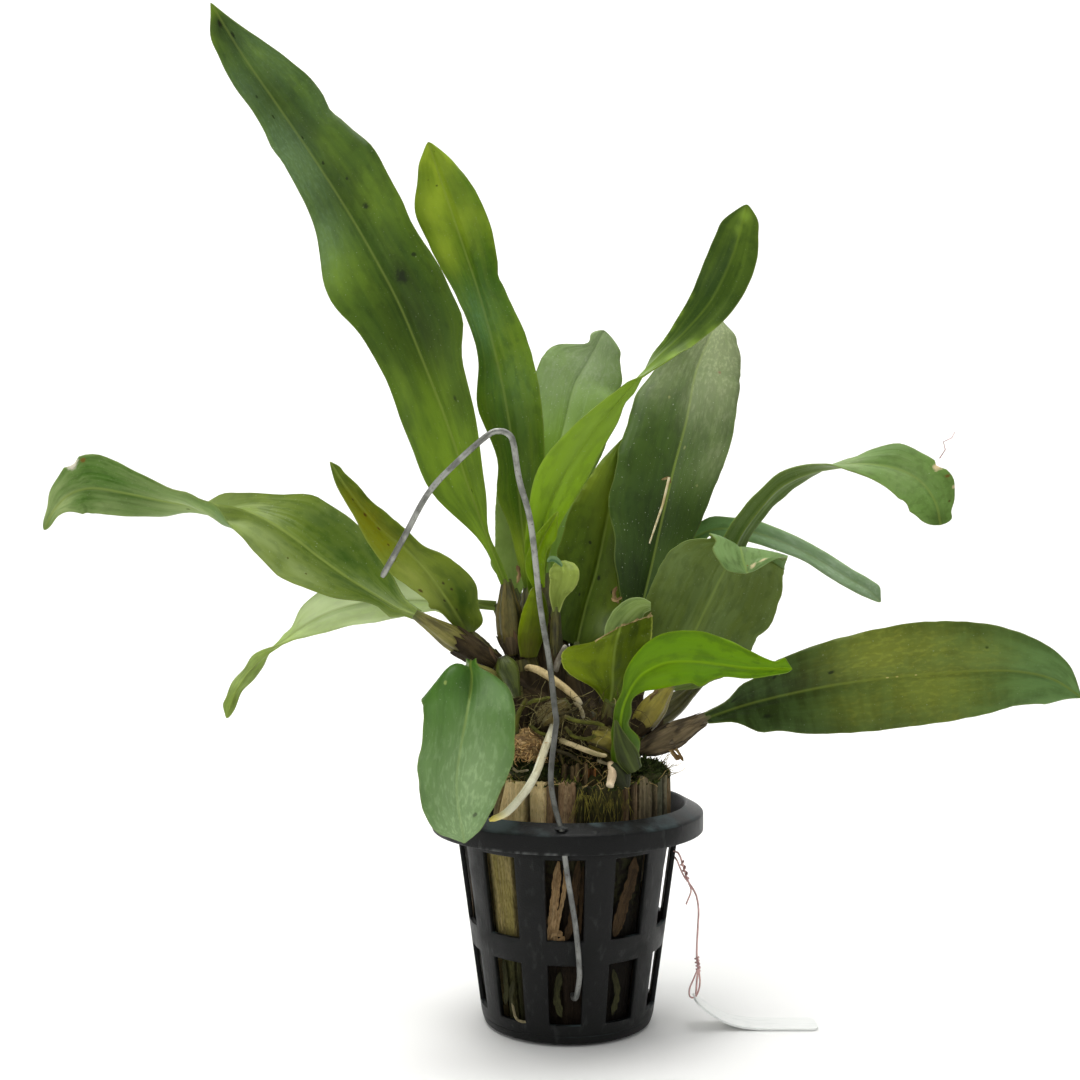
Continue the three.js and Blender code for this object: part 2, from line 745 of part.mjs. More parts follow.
  },
  leaf_young_curled: {
    rows: [
      [-3.6, -8, 127, 1, 1],
      [-3.1, -9, 132, 2.5, 2.2],
      [-1.6, -9.6, 136.6, 3.3, 3.2],
      [-1.6, -8.6, 140.4, 3.6, 3.4],
      [-2.6, -6.4, 142, 3, 2.6],
    ],
    side: [1, 0, 0],
    tip: 0,
    base: 1.2,
    steps: 8,
  },
  shoot_keeled: {
    rows: [
      [-12.2, -9.2, 113, 2.4, 2.4],
      [-12, -9.6, 119, 3.4, 3.2],
      [-11.2, -9.4, 126, 3, 2.8],
      [-10.4, -9, 131, 2, 2.2],
      [-10.2, -8.8, 134.4, 1.2, 1.4],
    ],
    baseFold: -0.7,
    fold: -0.7,
    curl: 0,
    base: 2.4,
    thickness: 1.6,
    steps: 7,
  },
};

Object.entries(LEAVES).forEach(([name, { rows, ...form }]) => add(name, blade(rows, form), FINISH.leaf));

// Aerial roots, the cut shoot and the crumbly chunk

const ROOTS = {
  root_long: {
    path: [[-4.6, -18.4, 93.4], [-7.4, -23, 86.4], [-9.6, -28.4, 81], [-13, -32.6, 76], [-18, -36.4, 71], [-23, -37.6, 68.9]],
    radii: [1, 1.15, 1.2, 1.2, 1.2, 1.1, 0.8],
  },
  root_upper: {
    path: [[-12.6, -7.4, 109.4], [-11.6, -12, 110], [-8.3, -15, 109.2], [-2, -16.4, 105], [2.6, -17, 101], [4, -16.6, 98.4]],
    radii: [0.9, 1.1, 1.2, 1.1, 0.7],
  },
  root_middle: {
    path: [[-2.6, -19.6, 89.2], [4, -22, 87], [8, -22.8, 85.6], [11.2, -22.8, 85]],
    radii: [0.8, 0.8, 0.75, 0.6],
  },
  root_stub: {
    path: [[12.2, -24, 83], [12.6, -27, 80.6], [11.6, -29.8, 77]],
    radii: [1, 1.3, 1.1],
  },
  root_dry: {
    path: [[-3.7, -8, 108.4], [-3.2, -12, 111.6], [-0.8, -13.4, 117]],
    radii: [1, 1.2, 0.7],
  },
};

Object.entries(ROOTS).forEach(([name, { path, radii }]) => {
  add(name, stem(path, radii, { sides: 8, rings: 9 }), FINISH.root);
});

const CUT_SHOOT = { path: [[-15.6, -13, 101.6], [-17.2, -14, 107], [-20, -14, 113.6]], radii: [1.4, 2, 3, 3.3, 1.4] };
const cutShoot = (grow) => stem(CUT_SHOOT.path, CUT_SHOOT.radii, { sides: 10, rings: 6, grow });
add('shoot_cut', cutShoot(0), FINISH.bulb);

// Rhizome with the leafless bulbs at the back, carved clear of what stands on it

const RHIZOME = [
  { path: [[-20, -7, 106], [-12, -6, 101], [-4, -8, 93], [6, -9, 88], [16, -8, 86], [24, -6, 86]], radii: [3, 4.6, 5.4, 5, 4.4, 3] },
  { path: [[-13, -4, 112], [-11, -5, 103], [-6, -5, 92], [-3, -4, 76]], radii: [3.6, 5, 5, 4] },
  { path: [[18, -6, 88], [14, -7, 82], [10, -8, 76]], radii: [3.6, 4.4, 4] },
  { path: [[-6, -4, 96], [-10, 4, 112], [-12, 10, 132.8]], radii: [4, 3.4, 4.2, 3.8, 1.6] },
  { path: [[-3, -3, 94], [-4, 9, 112], [-5.6, 16.6, 135.8]], radii: [4, 3.4, 4.2, 3.8, 1.6] },
  { path: [[-8, -4, 98], [-14, 12, 112], [-16.2, 18.4, 130.8]], radii: [4, 3, 3.8, 3.4, 1.6] },
  { path: [[-10, -4, 104], [-16, 4, 114], [-19, 6, 123], [-21.4, 6, 126.8]], radii: [4, 3.2, 3.4, 3.2, 1.4] },
  { path: [[-14, -6, 104], [-22, -3, 110], [-30.6, -2.8, 119.6]], radii: [3.6, 2.8, 3, 2.8, 1.4] },
  { path: [[6, -8, 88], [6, 4, 98], [3, 9.8, 114]], radii: [4, 3.4, 4.4, 4, 1.8] },
  { path: [[14, -7, 87], [20, 4, 104], [23, 7.8, 124.8]], radii: [4, 3.6, 4.6, 4, 1.8] },
  { path: [[16, -5, 87], [21, 16, 108], [24, 21.8, 128.8]], radii: [4, 3.4, 4.2, 3.6, 1.5] },
  { path: [[-2, -8, 92], [-5, -2, 110], [-9.4, -0.2, 129.4]], radii: [4, 3.6, 4, 3, 2] },
  { path: [[-3, -8, 94], [-3.6, -7, 110], [-3.7, -7.8, 126.4]], radii: [3.4, 2.4, 2, 1.2] },
  { path: [[-8, -4, 118], [-8.4, -4, 126], [-8.8, -5, 133.4]], radii: [2, 2, 1.8] },
  { path: [[8, -9, 88], [11, -13, 93], [12.3, -16.2, 99]], radii: [3.6, 2.6, 1.8] },
  { path: [[10, -8, 86], [14, -15, 84], [16, -20.8, 82.8]], radii: [4, 3.2, 2.4] },
];

const clearance = [
  ...Object.values(BULBS).map((shape) => bulb(shape, GAP)),
  ...Object.values(ROOTS).map(({ path, radii }) => stem(path, radii, { sides: 8, rings: 9, grow: GAP })),
  cutShoot(GAP),
];

function rhizome() {
  const stems = RHIZOME.map(({ path, radii }) => stem(path, radii, { sides: 7, rings: 5 }));
  return largest(join(stems).subtract(join(clearance)));
}

add('rhizome', rhizome(), FINISH.bulb);

// Growing medium

const CHIPS = [
  { from: -75, to: -59, high: 76, slant: -1.5, lean: -0.22 },
  { from: -58, to: -24, high: 77, slant: 0.4, lean: -0.04 },
  { from: -23.4, to: -5, high: 77.6, slant: 0, lean: 0 },
  { from: -4.4, to: 24.6, high: 76.4, slant: 0.3, lean: 0 },
  { from: 25.2, to: 37, high: 77.6, slant: -0.6, lean: 0 },
  { from: 37.6, to: 55.6, high: 77, slant: -2.4, lean: 0 },
  { from: 57.4, to: 72, high: 79.4, slant: 0.8, lean: 0 },
  { from: 74, to: 112, high: 77, slant: 0.6, lean: 0 },
  { from: 113.4, to: 158, high: 75, slant: -0.6, lean: 0 },
  { from: 159.4, to: 196, high: 77.4, slant: 1, lean: 0 },
  { from: 197.4, to: 240, high: 75.4, slant: -0.8, lean: -0.06 },
  { from: 241.4, to: 284, high: 77.4, slant: 0.4, lean: -0.14 },
];

// The ring's outer face leans out with the basket up to the rim, and stands straight above it
function chipRadius(z, lean) {
  const below = Math.min(z, CHIP_STRAIGHT) - CHIP_STRAIGHT;
  const above = Math.max(z - CHIP_STRAIGHT, 0);
  return CHIP_RADIUS + below * CHIP_LEAN + above * lean;
}

function chip({ from, to, high, slant, lean }, number, grow = 0) {
  const box = new THREE.BoxGeometry(1, 1, 1, 4, 1, 3);
  const position = box.attributes.position;
  for (let i = 0; i < position.count; i += 1) {
    const [u, v, w] = [position.getX(i), position.getY(i), position.getZ(i)];
    const angle = radians((from + to) / 2 + u * (to - from + 2 * grow) - 90);
    const top = high + 2 * slant * u + 0.5 * jitter(u, v, number);
    const z = CHIP_LOW + (w + 0.5) * (top - CHIP_LOW) + Math.sign(w) * (Math.abs(w) > 0.4 ? grow : 0);
    const ripple = Math.abs(u) < 0.5 ? 0.35 * jitter(u, w, number) : 0;
    const radius = chipRadius(z, lean) - 0.4 + ripple + (v > 0 ? -CHIP_THICKNESS - grow : grow);
    position.setXYZ(i, CHIP_CENTRE + radius * Math.cos(angle), radius * Math.sin(angle), z);
  }
  return toSolid(box);
}

const rooted = clearance.concat([
  ...RHIZOME.map(({ path, radii }) => stem(path, radii, { sides: 7, rings: 5, grow: GAP })),
  blade(LEAVES.leaf_bright_front.rows.slice(0, 3), { fold: -0.9, baseFold: -0.9, tip: 0, base: 2.4, thickness: 2.4 }),
]);
const rootedSolid = join(rooted);

CHIPS.forEach((shape, i) => {
  add(`husk_chip_${i + 1}`, largest(chip(shape, i).subtract(rootedSolid)), FINISH.husk);
});

const CHUNK = { path: [[-16, -14.6, 85.6], [-12, -16, 87.4], [-7.6, -15.4, 86.2]], radii: [2.6, 4.4, 4.8, 4.2, 2.4] };
const chunk = (grow) => stem(CHUNK.path, CHUNK.radii, { sides: 9, rings: 5, ridges: 4, depth: 0.09, grow });
add('bark_chunk', largest(chunk(0).subtract(rootedSolid)), FINISH.bark);

// The packed husk: planks against the wall below, a smaller core inside the chips and a mossy mound on top
const CORE_SIDES = 36;
const CORE_LEVELS = [
  { z: FLOOR + GAP, radius: 20 },
  { z: 6, radius: 24.4 },
  { z: 25, radius: 27 },
  { z: 44, radius: 29.4 },
  { z: 46.4, radius: 28 },
  { z: 46.5, radius: 20.6, shift: 3.6 },
  { z: 60, radius: 21.8, shift: CHIP_CENTRE },
  { z: 74.6, radius: 21.8, shift: CHIP_CENTRE },
  { z: 79.5, radius: 19, shift: 3 },
  { z: 83, radius: 13, shift: 0 },
  { z: 84.6, radius: 6, shift: -2 },
];

function core() {
  const rings = CORE_LEVELS.map(({ z, radius, shift = 0 }, level) => {
    const ring = [];
    for (let i = 0; i < CORE_SIDES; i += 1) {
      const angle = (i / CORE_SIDES) * 2 * Math.PI;
      const plank = Math.floor(i / 2) % 3;
      const relief = z > 5 && z < 45 ? -0.8 * plank - 0.3 * (1 + jitter(i, level)) : 0;
      const rough = z > 76 ? 0.7 * jitter(i, level) : 0;
      const r = radius + relief + rough;
      ring.push(new THREE.Vector3(shift + r * Math.cos(angle), r * Math.sin(angle), z));
    }
    return ring;
  });
  const cut = join([
    rootedSolid,
    chunk(GAP),
    wire(HANGER_POINTS, WIRE_DIAMETER, { steps: HANGER_STEPS, grow: GAP }),
    ...CHIPS.map((shape, i) => chip(shape, i, GAP)),
  ]);
  return largest(loft(rings).subtract(cut));
}

add('husk_core', core(), FINISH.husk);

export default orchid;
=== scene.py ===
import math
import random

import bmesh
import bpy
from mathutils import Matrix, Vector, noise


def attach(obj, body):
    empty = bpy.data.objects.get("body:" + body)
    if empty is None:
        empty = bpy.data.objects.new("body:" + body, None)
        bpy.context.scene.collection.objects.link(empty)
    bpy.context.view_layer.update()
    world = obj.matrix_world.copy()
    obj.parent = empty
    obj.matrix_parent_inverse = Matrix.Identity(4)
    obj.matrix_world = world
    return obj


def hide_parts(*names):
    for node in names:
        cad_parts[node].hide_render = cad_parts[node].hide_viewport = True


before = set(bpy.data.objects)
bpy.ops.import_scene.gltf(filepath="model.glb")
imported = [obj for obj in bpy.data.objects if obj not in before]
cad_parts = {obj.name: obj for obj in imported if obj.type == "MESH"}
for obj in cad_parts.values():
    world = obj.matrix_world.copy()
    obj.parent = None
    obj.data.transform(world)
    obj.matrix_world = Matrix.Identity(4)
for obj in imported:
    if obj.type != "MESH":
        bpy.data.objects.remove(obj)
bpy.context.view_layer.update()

# An orchid with pseudobulbs on coconut husk, in a slotted net basket with a wire hanger.
# Shapes are worked out in millimetres and scaled to metres when a piece is finished.
mm = 0.001
uvUnit = 100  # millimetres along one unit of a piece's surface map

fineSteps = 300  # steps in which a path is measured


def between(values, t):
    # a smooth curve through the values, for t from 0 to 1
    x = min(max(t, 0), 1) * (len(values) - 1)
    i = min(int(x), len(values) - 2)
    f = x - i
    b, c = values[i], values[i + 1]
    a = values[i - 1] if i > 0 else 2 * b - c
    d = values[i + 2] if i + 2 < len(values) else 2 * c - b
    return b + 0.5 * f * (c - a + f * (2 * a - 5 * b + 4 * c - d + f * (3 * (b - c) + d - a)))


def fade(low, high, x):
    # from 0 at low to 1 at high, easing at both ends
    t = min(max((x - low) / (high - low), 0), 1)
    return t * t * (3 - 2 * t)


def rough(x, y, z=0.0, size=1.0):
    # smooth noise about 0, with lumps as large as size in millimetres
    return noise.noise(Vector((x / size, y / size, z / size)))


def polar(radius, degrees, z=0.0):
    angle = math.radians(degrees)
    return Vector((radius * math.cos(angle), radius * math.sin(angle), z))


def followPath(points, count):
    # evenly spaced places on a smooth line through the points, and its length
    columns = list(zip(*points))
    fine = [Vector([between(column, i / fineSteps) for column in columns]) for i in range(fineSteps + 1)]
    lengths = [0.0]
    for a, b in zip(fine, fine[1:]):
        lengths.append(lengths[-1] + (b - a).length)
    places = []
    i = 0
    for step in range(count + 1):
        want = lengths[-1] * step / count
        while i < fineSteps - 1 and lengths[i + 1] < want:
            i += 1
        share = (want - lengths[i]) / max(lengths[i + 1] - lengths[i], 1e-9)
        places.append(fine[i].lerp(fine[i + 1], share))
    return places, lengths[-1]


def turnAlong(places, start=(0, 0, 1)):
    # a tangent, a side and an up for each place, which turn as little as they can
    frames = []
    side = Vector(start)
    for i in range(len(places)):
        ahead = places[min(i + 1, len(places) - 1)] - places[max(i - 1, 0)]
        tangent = ahead.normalized()
        side = side - tangent * side.dot(tangent)
        if side.length < 1e-3:
            side = tangent.orthogonal()
        side.normalize()
        frames.append((tangent, side, tangent.cross(side)))
    return frames


def titleOf(name):
    # leaf_tall_left becomes LeafTallLeft
    return name.replace("_", " ").title().replace(" ", "")


def seedOf(name, limit):
    # a fixed number for each name, so that no two pieces share a pattern
    return sum(ord(letter) for letter in name) % limit


def linkObject(name, data):
    made = bpy.data.objects.new(name, data)
    bpy.context.collection.objects.link(made)
    return made


def newPiece(*attributes):
    bm = bmesh.new()
    bm.loops.layers.uv.new("surfaceMap")
    for name in attributes:
        bm.verts.layers.float.new(name)
    return bm


def addGrid(bm, columns, rows, place, size, weld=False):
    # place(u, s) gives a point in mm and its attributes; size is the surface map's width and length in mm
    surfaceMap = bm.loops.layers.uv["surfaceMap"]
    made = bmesh.ops.create_grid(bm, x_segments=columns, y_segments=rows, size=0.5, calc_uvs=True)["verts"]
    for face in facesOf(made):
        for loop in face.loops:
            u, s = loop[surfaceMap].uv
            loop[surfaceMap].uv = (u * size[0] / uvUnit, s * size[1] / uvUnit)
    for vert in made:
        vert.co, values = place(vert.co.x + 0.5, vert.co.y + 0.5)
        for name, value in values.items():
            vert[bm.verts.layers.float[name]] = value
    if weld:
        bmesh.ops.remove_doubles(bm, verts=made, dist=1e-5)
        made = [vert for vert in made if vert.is_valid]
    return made


def facesOf(verts):
    return list({face for vert in verts for face in vert.link_faces})


def extrudeCopy(bm, faces):
    # the second wall's vertices, which the caller moves to where that wall stands
    grown = bmesh.ops.extrude_face_region(bm, geom=faces)["geom"]
    return [item for item in grown if isinstance(item, bmesh.types.BMVert)]


def capEnds(bm, verts):
    rim = {edge for vert in verts for edge in vert.link_edges if edge.is_boundary}
    bmesh.ops.holes_fill(bm, edges=list(rim), sides=0)


def addTube(bm, points, radiusAt, sides=12, rings=12, values=None, start=(0, 0, 1)):
    # radiusAt(t, angle) gives the radius, values(t, angle) the attributes
    places, length = followPath(points, rings)
    frames = turnAlong(places, start)
    girth = 2 * math.pi * max(radiusAt(0.5, 0), 0.2)

    def place(u, s):
        i = round(s * rings)
        angle = 2 * math.pi * (u % 1)
        _, side, up = frames[i]
        radius = radiusAt(s, angle)
        point = places[i] + side * radius * math.cos(angle) + up * radius * math.sin(angle)
        return point, (values(s, angle) if values else {})

    made = addGrid(bm, sides, rings, place, (girth, length), weld=True)
    capEnds(bm, made)
    return made


def finishPiece(bm, name, material, replaced=(), sharp=55):
    bmesh.ops.scale(bm, vec=(mm, mm, mm), verts=bm.verts[:])
    bmesh.ops.recalc_face_normals(bm, faces=bm.faces[:])
    mesh = bpy.data.meshes.new(name)
    bm.to_mesh(mesh)
    bm.free()
    mesh.shade_smooth()
    mesh.set_sharp_from_angle(angle=math.radians(sharp))
    mesh.materials.append(material)
    piece = linkObject(name, mesh)
    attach(piece, "root")
    if replaced:
        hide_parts(*replaced)
    return piece


def fibrePiece(name, strands, diameter, material):
    # fine hairs and straws, each a few points with a taper
    curve = bpy.data.curves.new(name, "CURVE")
    curve.dimensions = "3D"
    curve.bevel_depth = diameter / 2 * mm
    curve.bevel_resolution = 1
    for strand in strands:
        spline = curve.splines.new("POLY")
        spline.points.add(len(strand) - 1)
        for i, (point, place) in enumerate(zip(spline.points, strand)):
            point.co = (place[0] * mm, place[1] * mm, place[2] * mm, 1)
            point.radius = 1 - 0.6 * i / len(strand)
    curve.materials.append(material)
    piece = linkObject(name, curve)
    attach(piece, "root")


def hexColor(text):
    # an sRGB hex value as linear light
    def linear(part):
        value = int(part, 16) / 255
        return value / 12.92 if value <= 0.04045 else ((value + 0.055) / 1.055) ** 2.4
    return (*(linear(text[i:i + 2]) for i in (1, 3, 5)), 1)


def addNode(tree, kind, links=None, **settings):
    made = tree.nodes.new("ShaderNode" + kind)
    for name, value in settings.items():
        setattr(made, name, value)
    for socket, value in (links or {}).items():
        if isinstance(value, bpy.types.NodeSocket):
            tree.links.new(value, made.inputs[socket])
        else:
            made.inputs[socket].default_value = value
    return made


def startMaterial(name, painted=(), surface=True):
    # the new material, its node tree, the place on the piece in millimetres, and the attributes painted on it
    material = bpy.data.materials.new(name)
    material.use_nodes = True
    tree = material.node_tree
    if surface:
        where = addNode(tree, "UVMap", uv_map="surfaceMap").outputs[0]
        scale = uvUnit
    else:
        where = addNode(tree, "TexCoord").outputs["Object"]
        scale = 1 / mm
    place = addNode(tree, "VectorMath", {0: where, "Scale": scale}, operation="SCALE").outputs[0]
    masks = {kind: addNode(tree, "Attribute", attribute_name=kind).outputs["Fac"] for kind in painted}
    return material, tree, place, masks


def patches(tree, place, size, low, high, stretch=(1, 1, 1), detail=3, shift=0):
    # soft patches from 0 to 1, size in millimetres
    moved = {0: place, "Location": (shift, shift, shift), "Scale": stretch}
    moved = addNode(tree, "Mapping", moved).outputs[0]
    cloud = addNode(tree, "TexNoise", {"Vector": moved, "Scale": 1 / size, "Detail": detail}).outputs[0]
    spread = addNode(tree, "MapRange", {0: cloud, 1: low, 2: high}, interpolation_type="SMOOTHSTEP")
    return spread.outputs[0]


def layColours(tree, base, layers):
    # each layer is a mask, a strength and a hex colour, laid over what is below it
    for mask, strength, colour in layers:
        share = addNode(tree, "Math", {0: mask, 1: strength}, operation="MULTIPLY", use_clamp=True).outputs[0]
        below = hexColor(base) if isinstance(base, str) else base
        base = addNode(tree, "Mix", {0: share, 6: below, 7: hexColor(colour)}, data_type="RGBA").outputs[2]
    return base


def finishMaterial(material, tint, roughness, specular=0.5, metallic=0, bumps=(), depth=0):
    # bumps are masks and weights that add up to one height, depth in millimetres
    tree = material.node_tree
    shader = tree.nodes["Principled BSDF"]
    tree.links.new(tint, shader.inputs["Base Color"])
    if isinstance(roughness, bpy.types.NodeSocket):
        tree.links.new(roughness, shader.inputs["Roughness"])
    else:
        shader.inputs["Roughness"].default_value = roughness
    shader.inputs["Specular IOR Level"].default_value = specular
    shader.inputs["Metallic"].default_value = metallic
    height = 0.0
    for mask, weight in bumps:
        height = addNode(tree, "Math", {0: mask, 1: weight, 2: height}, operation="MULTIPLY_ADD").outputs[0]
    if bumps:
        bump = addNode(tree, "Bump", {"Height": height, "Distance": depth * mm, "Strength": 1.0})
        tree.links.new(bump.outputs[0], shader.inputs["Normal"])
    return material


view = dict(place=(-0.00856, -0.440, 0.1487), lens=47.13, sensor=36)

camera = bpy.data.cameras.new("camera")
camera.lens = view["lens"]
camera.sensor_width = view["sensor"]
camera.clip_start = 0.01
cameraObject = linkObject("camera", camera)
cameraObject.location = view["place"]
cameraObject.rotation_euler = (math.radians(90), 0, 0)
bpy.context.scene.camera = cameraObject
bpy.context.scene.view_settings.view_transform = "Standard"

studio = dict(floorFront=-2.2, floorBack=0.9, bend=0.7, height=2.4, halfWidth=3.2, floor="#f6f6f4", sky=0.4)


def makeFloor():
    # matt white paint on board, swept up behind
    material = bpy.data.materials.new("mattWhitePaint")
    material.use_nodes = True
    shader = material.node_tree.nodes["Principled BSDF"]
    shader.inputs["Base Color"].default_value = hexColor(studio["floor"])
    shader.inputs["Roughness"].default_value = 0.9
    flat = studio["floorBack"] - studio["floorFront"]
    arc = studio["bend"] * math.pi / 2
    total = flat + arc + studio["height"]

    def place(u, s):
        run = s * total
        turn = min(max(run - flat, 0), arc) / studio["bend"]
        y = studio["floorFront"] + min(run, flat) + studio["bend"] * math.sin(turn)
        z = studio["bend"] * (1 - math.cos(turn)) + max(run - flat - arc, 0)
        return Vector(((u - 0.5) * 2 * studio["halfWidth"], y, z)), {}

    bm = newPiece()
    addGrid(bm, 2, 80, place, (1, 1))
    mesh = bpy.data.meshes.new("studioFloor")
    bm.to_mesh(mesh)
    bm.free()
    mesh.shade_smooth()
    mesh.materials.append(material)
    floor = linkObject("studioFloor", mesh)


def addLamp(name, place, target, size, power, colour):
    lamp = bpy.data.lights.new(name, "AREA")
    lamp.shape = "DISK"
    lamp.size = size
    lamp.energy = power
    lamp.color = colour
    holder = linkObject(name, lamp)
    holder.location = place
    aim = Vector(target) - Vector(place)
    holder.rotation_euler = aim.to_track_quat("-Z", "Y").to_euler()


makeFloor()
addLamp("topLight", (-0.35, -0.25, 1.5), (0, 0, 0.15), 0.8, 9, (1.0, 0.99, 0.97))
addLamp("frontLight", (-0.9, -1.4, 0.8), (0, 0, 0.12), 0.9, 4, (1.0, 1.0, 1.0))
addLamp("rightLight", (1.3, -0.6, 0.7), (0, 0, 0.12), 0.9, 1.5, (0.97, 0.99, 1.0))
addLamp("backdropLight", (0, 0.45, 1.7), (0, 1.55, 0.35), 1.6, 26, (1.0, 1.0, 1.0))
world = bpy.data.worlds.new("studioWorld")
world.use_nodes = True
world.node_tree.nodes["Background"].inputs["Color"].default_value = (1, 1, 1, 1)
world.node_tree.nodes["Background"].inputs["Strength"].default_value = studio["sky"]
bpy.context.scene.world = world
print("camera, floor and light ready")

tie = dict(
    diameter=0.6, steps=32,
    twists=[(0.12, 0.24, 3), (0.76, 0.87, 4)], twistSteps=40,  # start, end and turns of each twisted stretch
    route=[
        (32.4, -6.55, 53.4), (34, -7.1, 52.6), (35.4, -7.1, 48.5), (36.8, -7, 44.2), (38.2, -7, 42),
        (39.4, -7, 39.5), (40, -7, 35.5), (39.8, -7, 30.5), (39.5, -7, 24.5), (39.5, -7, 20),
        (39.9, -7, 17.5), (39.5, -7, 14), (39.2, -7, 9.5),
    ],
    strand=[
        (32.6, -7.6, 51.8), (33.4, -8.2, 50.6), (34.3, -8, 48.4), (35.4, -7.7, 46), (36.6, -7.4, 44.2),
    ],
    loose=[
        (37, -7.2, 43.6), (37.6, -7.6, 42), (37.4, -7.6, 40.4), (36.7, -7.4, 38.6), (36.2, -7.2, 37.2),
    ],
    loop=[
        (39.6, -7.4, 17.2), (38.4, -7.6, 14.4), (37.2, -7.4, 11.4), (37.3, -7.2, 9), (38.6, -7.1, 8.6),
        (39.9, -6.4, 10), (40.5, -6.4, 13), (40.2, -6.4, 16.6),
    ],
)
label = dict(
    width=10, thickness=0.6, centre=-7, corner=2, steps=40,
    route=[(38.6, 8.95), (42, 6), (46, 3.4), (51, 1.5), (57, 0.6), (64, 0.5), (76, 0.5)],
)


def copperWire():
    # bare copper wire, soft drawn and dull: pinkish with darker worn stretches
    material, tree, place, _ = startMaterial("drawnCopper", surface=False)
    worn = patches(tree, place, 3, 0.4, 0.65)
    return finishMaterial(material, layColours(tree, "#d3aca8", [(worn, 0.6, "#a07f7c")]), 0.42, metallic=0.7)


def makeTie():
    material = copperWire()
    points, length = followPath(tie["route"], tie["steps"])
    curve = bpy.data.curves.new("tieWire", "CURVE")
    curve.dimensions = "3D"
    curve.bevel_depth = tie["diameter"] / 2 * mm
    curve.bevel_resolution = 3
    curve.use_fill_caps = True
    spline = curve.splines.new("POLY")
    spline.points.add(len(points) - 1)
    for point, place in zip(spline.points, points):
        point.co = (*(place * mm), 1)
    curve.materials.append(material)
    wire = linkObject("tieWire", curve)
    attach(wire, "root")
    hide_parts("tie_wire")

    bm = newPiece()
    radius = tie["diameter"] / 2
    for route in (tie["strand"], tie["loose"], tie["loop"]):
        addTube(bm, route, lambda t, angle: radius * 0.9, sides=8, rings=24)
    for low, high, turns in tie["twists"]:
        stretch = points[int(low * tie["steps"]):int(high * tie["steps"]) + 1]
        middle, _ = followPath(stretch, tie["twistSteps"])
        frames = turnAlong(middle)
        helix = []
        for i, place in enumerate(middle):
            angle = 2 * math.pi * turns * i / tie["twistSteps"]
            _, side, up = frames[i]
            helix.append(place + (side * math.cos(angle) + up * math.sin(angle)) * radius * 1.9)
        addTube(bm, helix, lambda t, angle: radius * 0.85, sides=8, rings=70)
    twists = finishPiece(bm, "tieTwists", material)
    strip = makeLabel()


def makeLabel():
    # white polystyrene sheet, cut to a strip: a faint gloss and fine scratches
    material, tree, place, _ = startMaterial("cutPolystyrene", surface=False)
    scratches = patches(tree, place, 0.8, 0.5, 0.7, stretch=(0.1, 1, 1))
    finishMaterial(material, layColours(tree, "#e9ebe8", [(scratches, 0.35, "#c4cac6")]), 0.38)
    steps, corner = label["steps"], label["corner"]
    places, length = followPath([(x, label["centre"], z) for x, z in label["route"]], steps)
    frames = turnAlong(places, start=(0, 1, 0))

    def place(u, s):
        i = round(s * steps)
        _, side, up = frames[i]
        end = min(s, 1 - s) * length
        short = corner - min(end, corner)  # how far into a rounded corner
        half = label["width"] / 2 - (corner - math.sqrt(max(corner ** 2 - short ** 2, 0)))
        return places[i] + side * (u - 0.5) * 2 * half + up * label["thickness"] / 2, {}

    bm = newPiece()
    addGrid(bm, 6, steps, place, (label["width"], length))
    for vert in extrudeCopy(bm, bm.faces[:]):
        nearest = min(range(steps + 1), key=lambda i: (places[i] - vert.co).length)
        vert.co -= frames[nearest][2] * label["thickness"]
    return finishPiece(bm, "labelStrip", material, ["plant_label"])


makeTie()
print("tie wire and label ready")
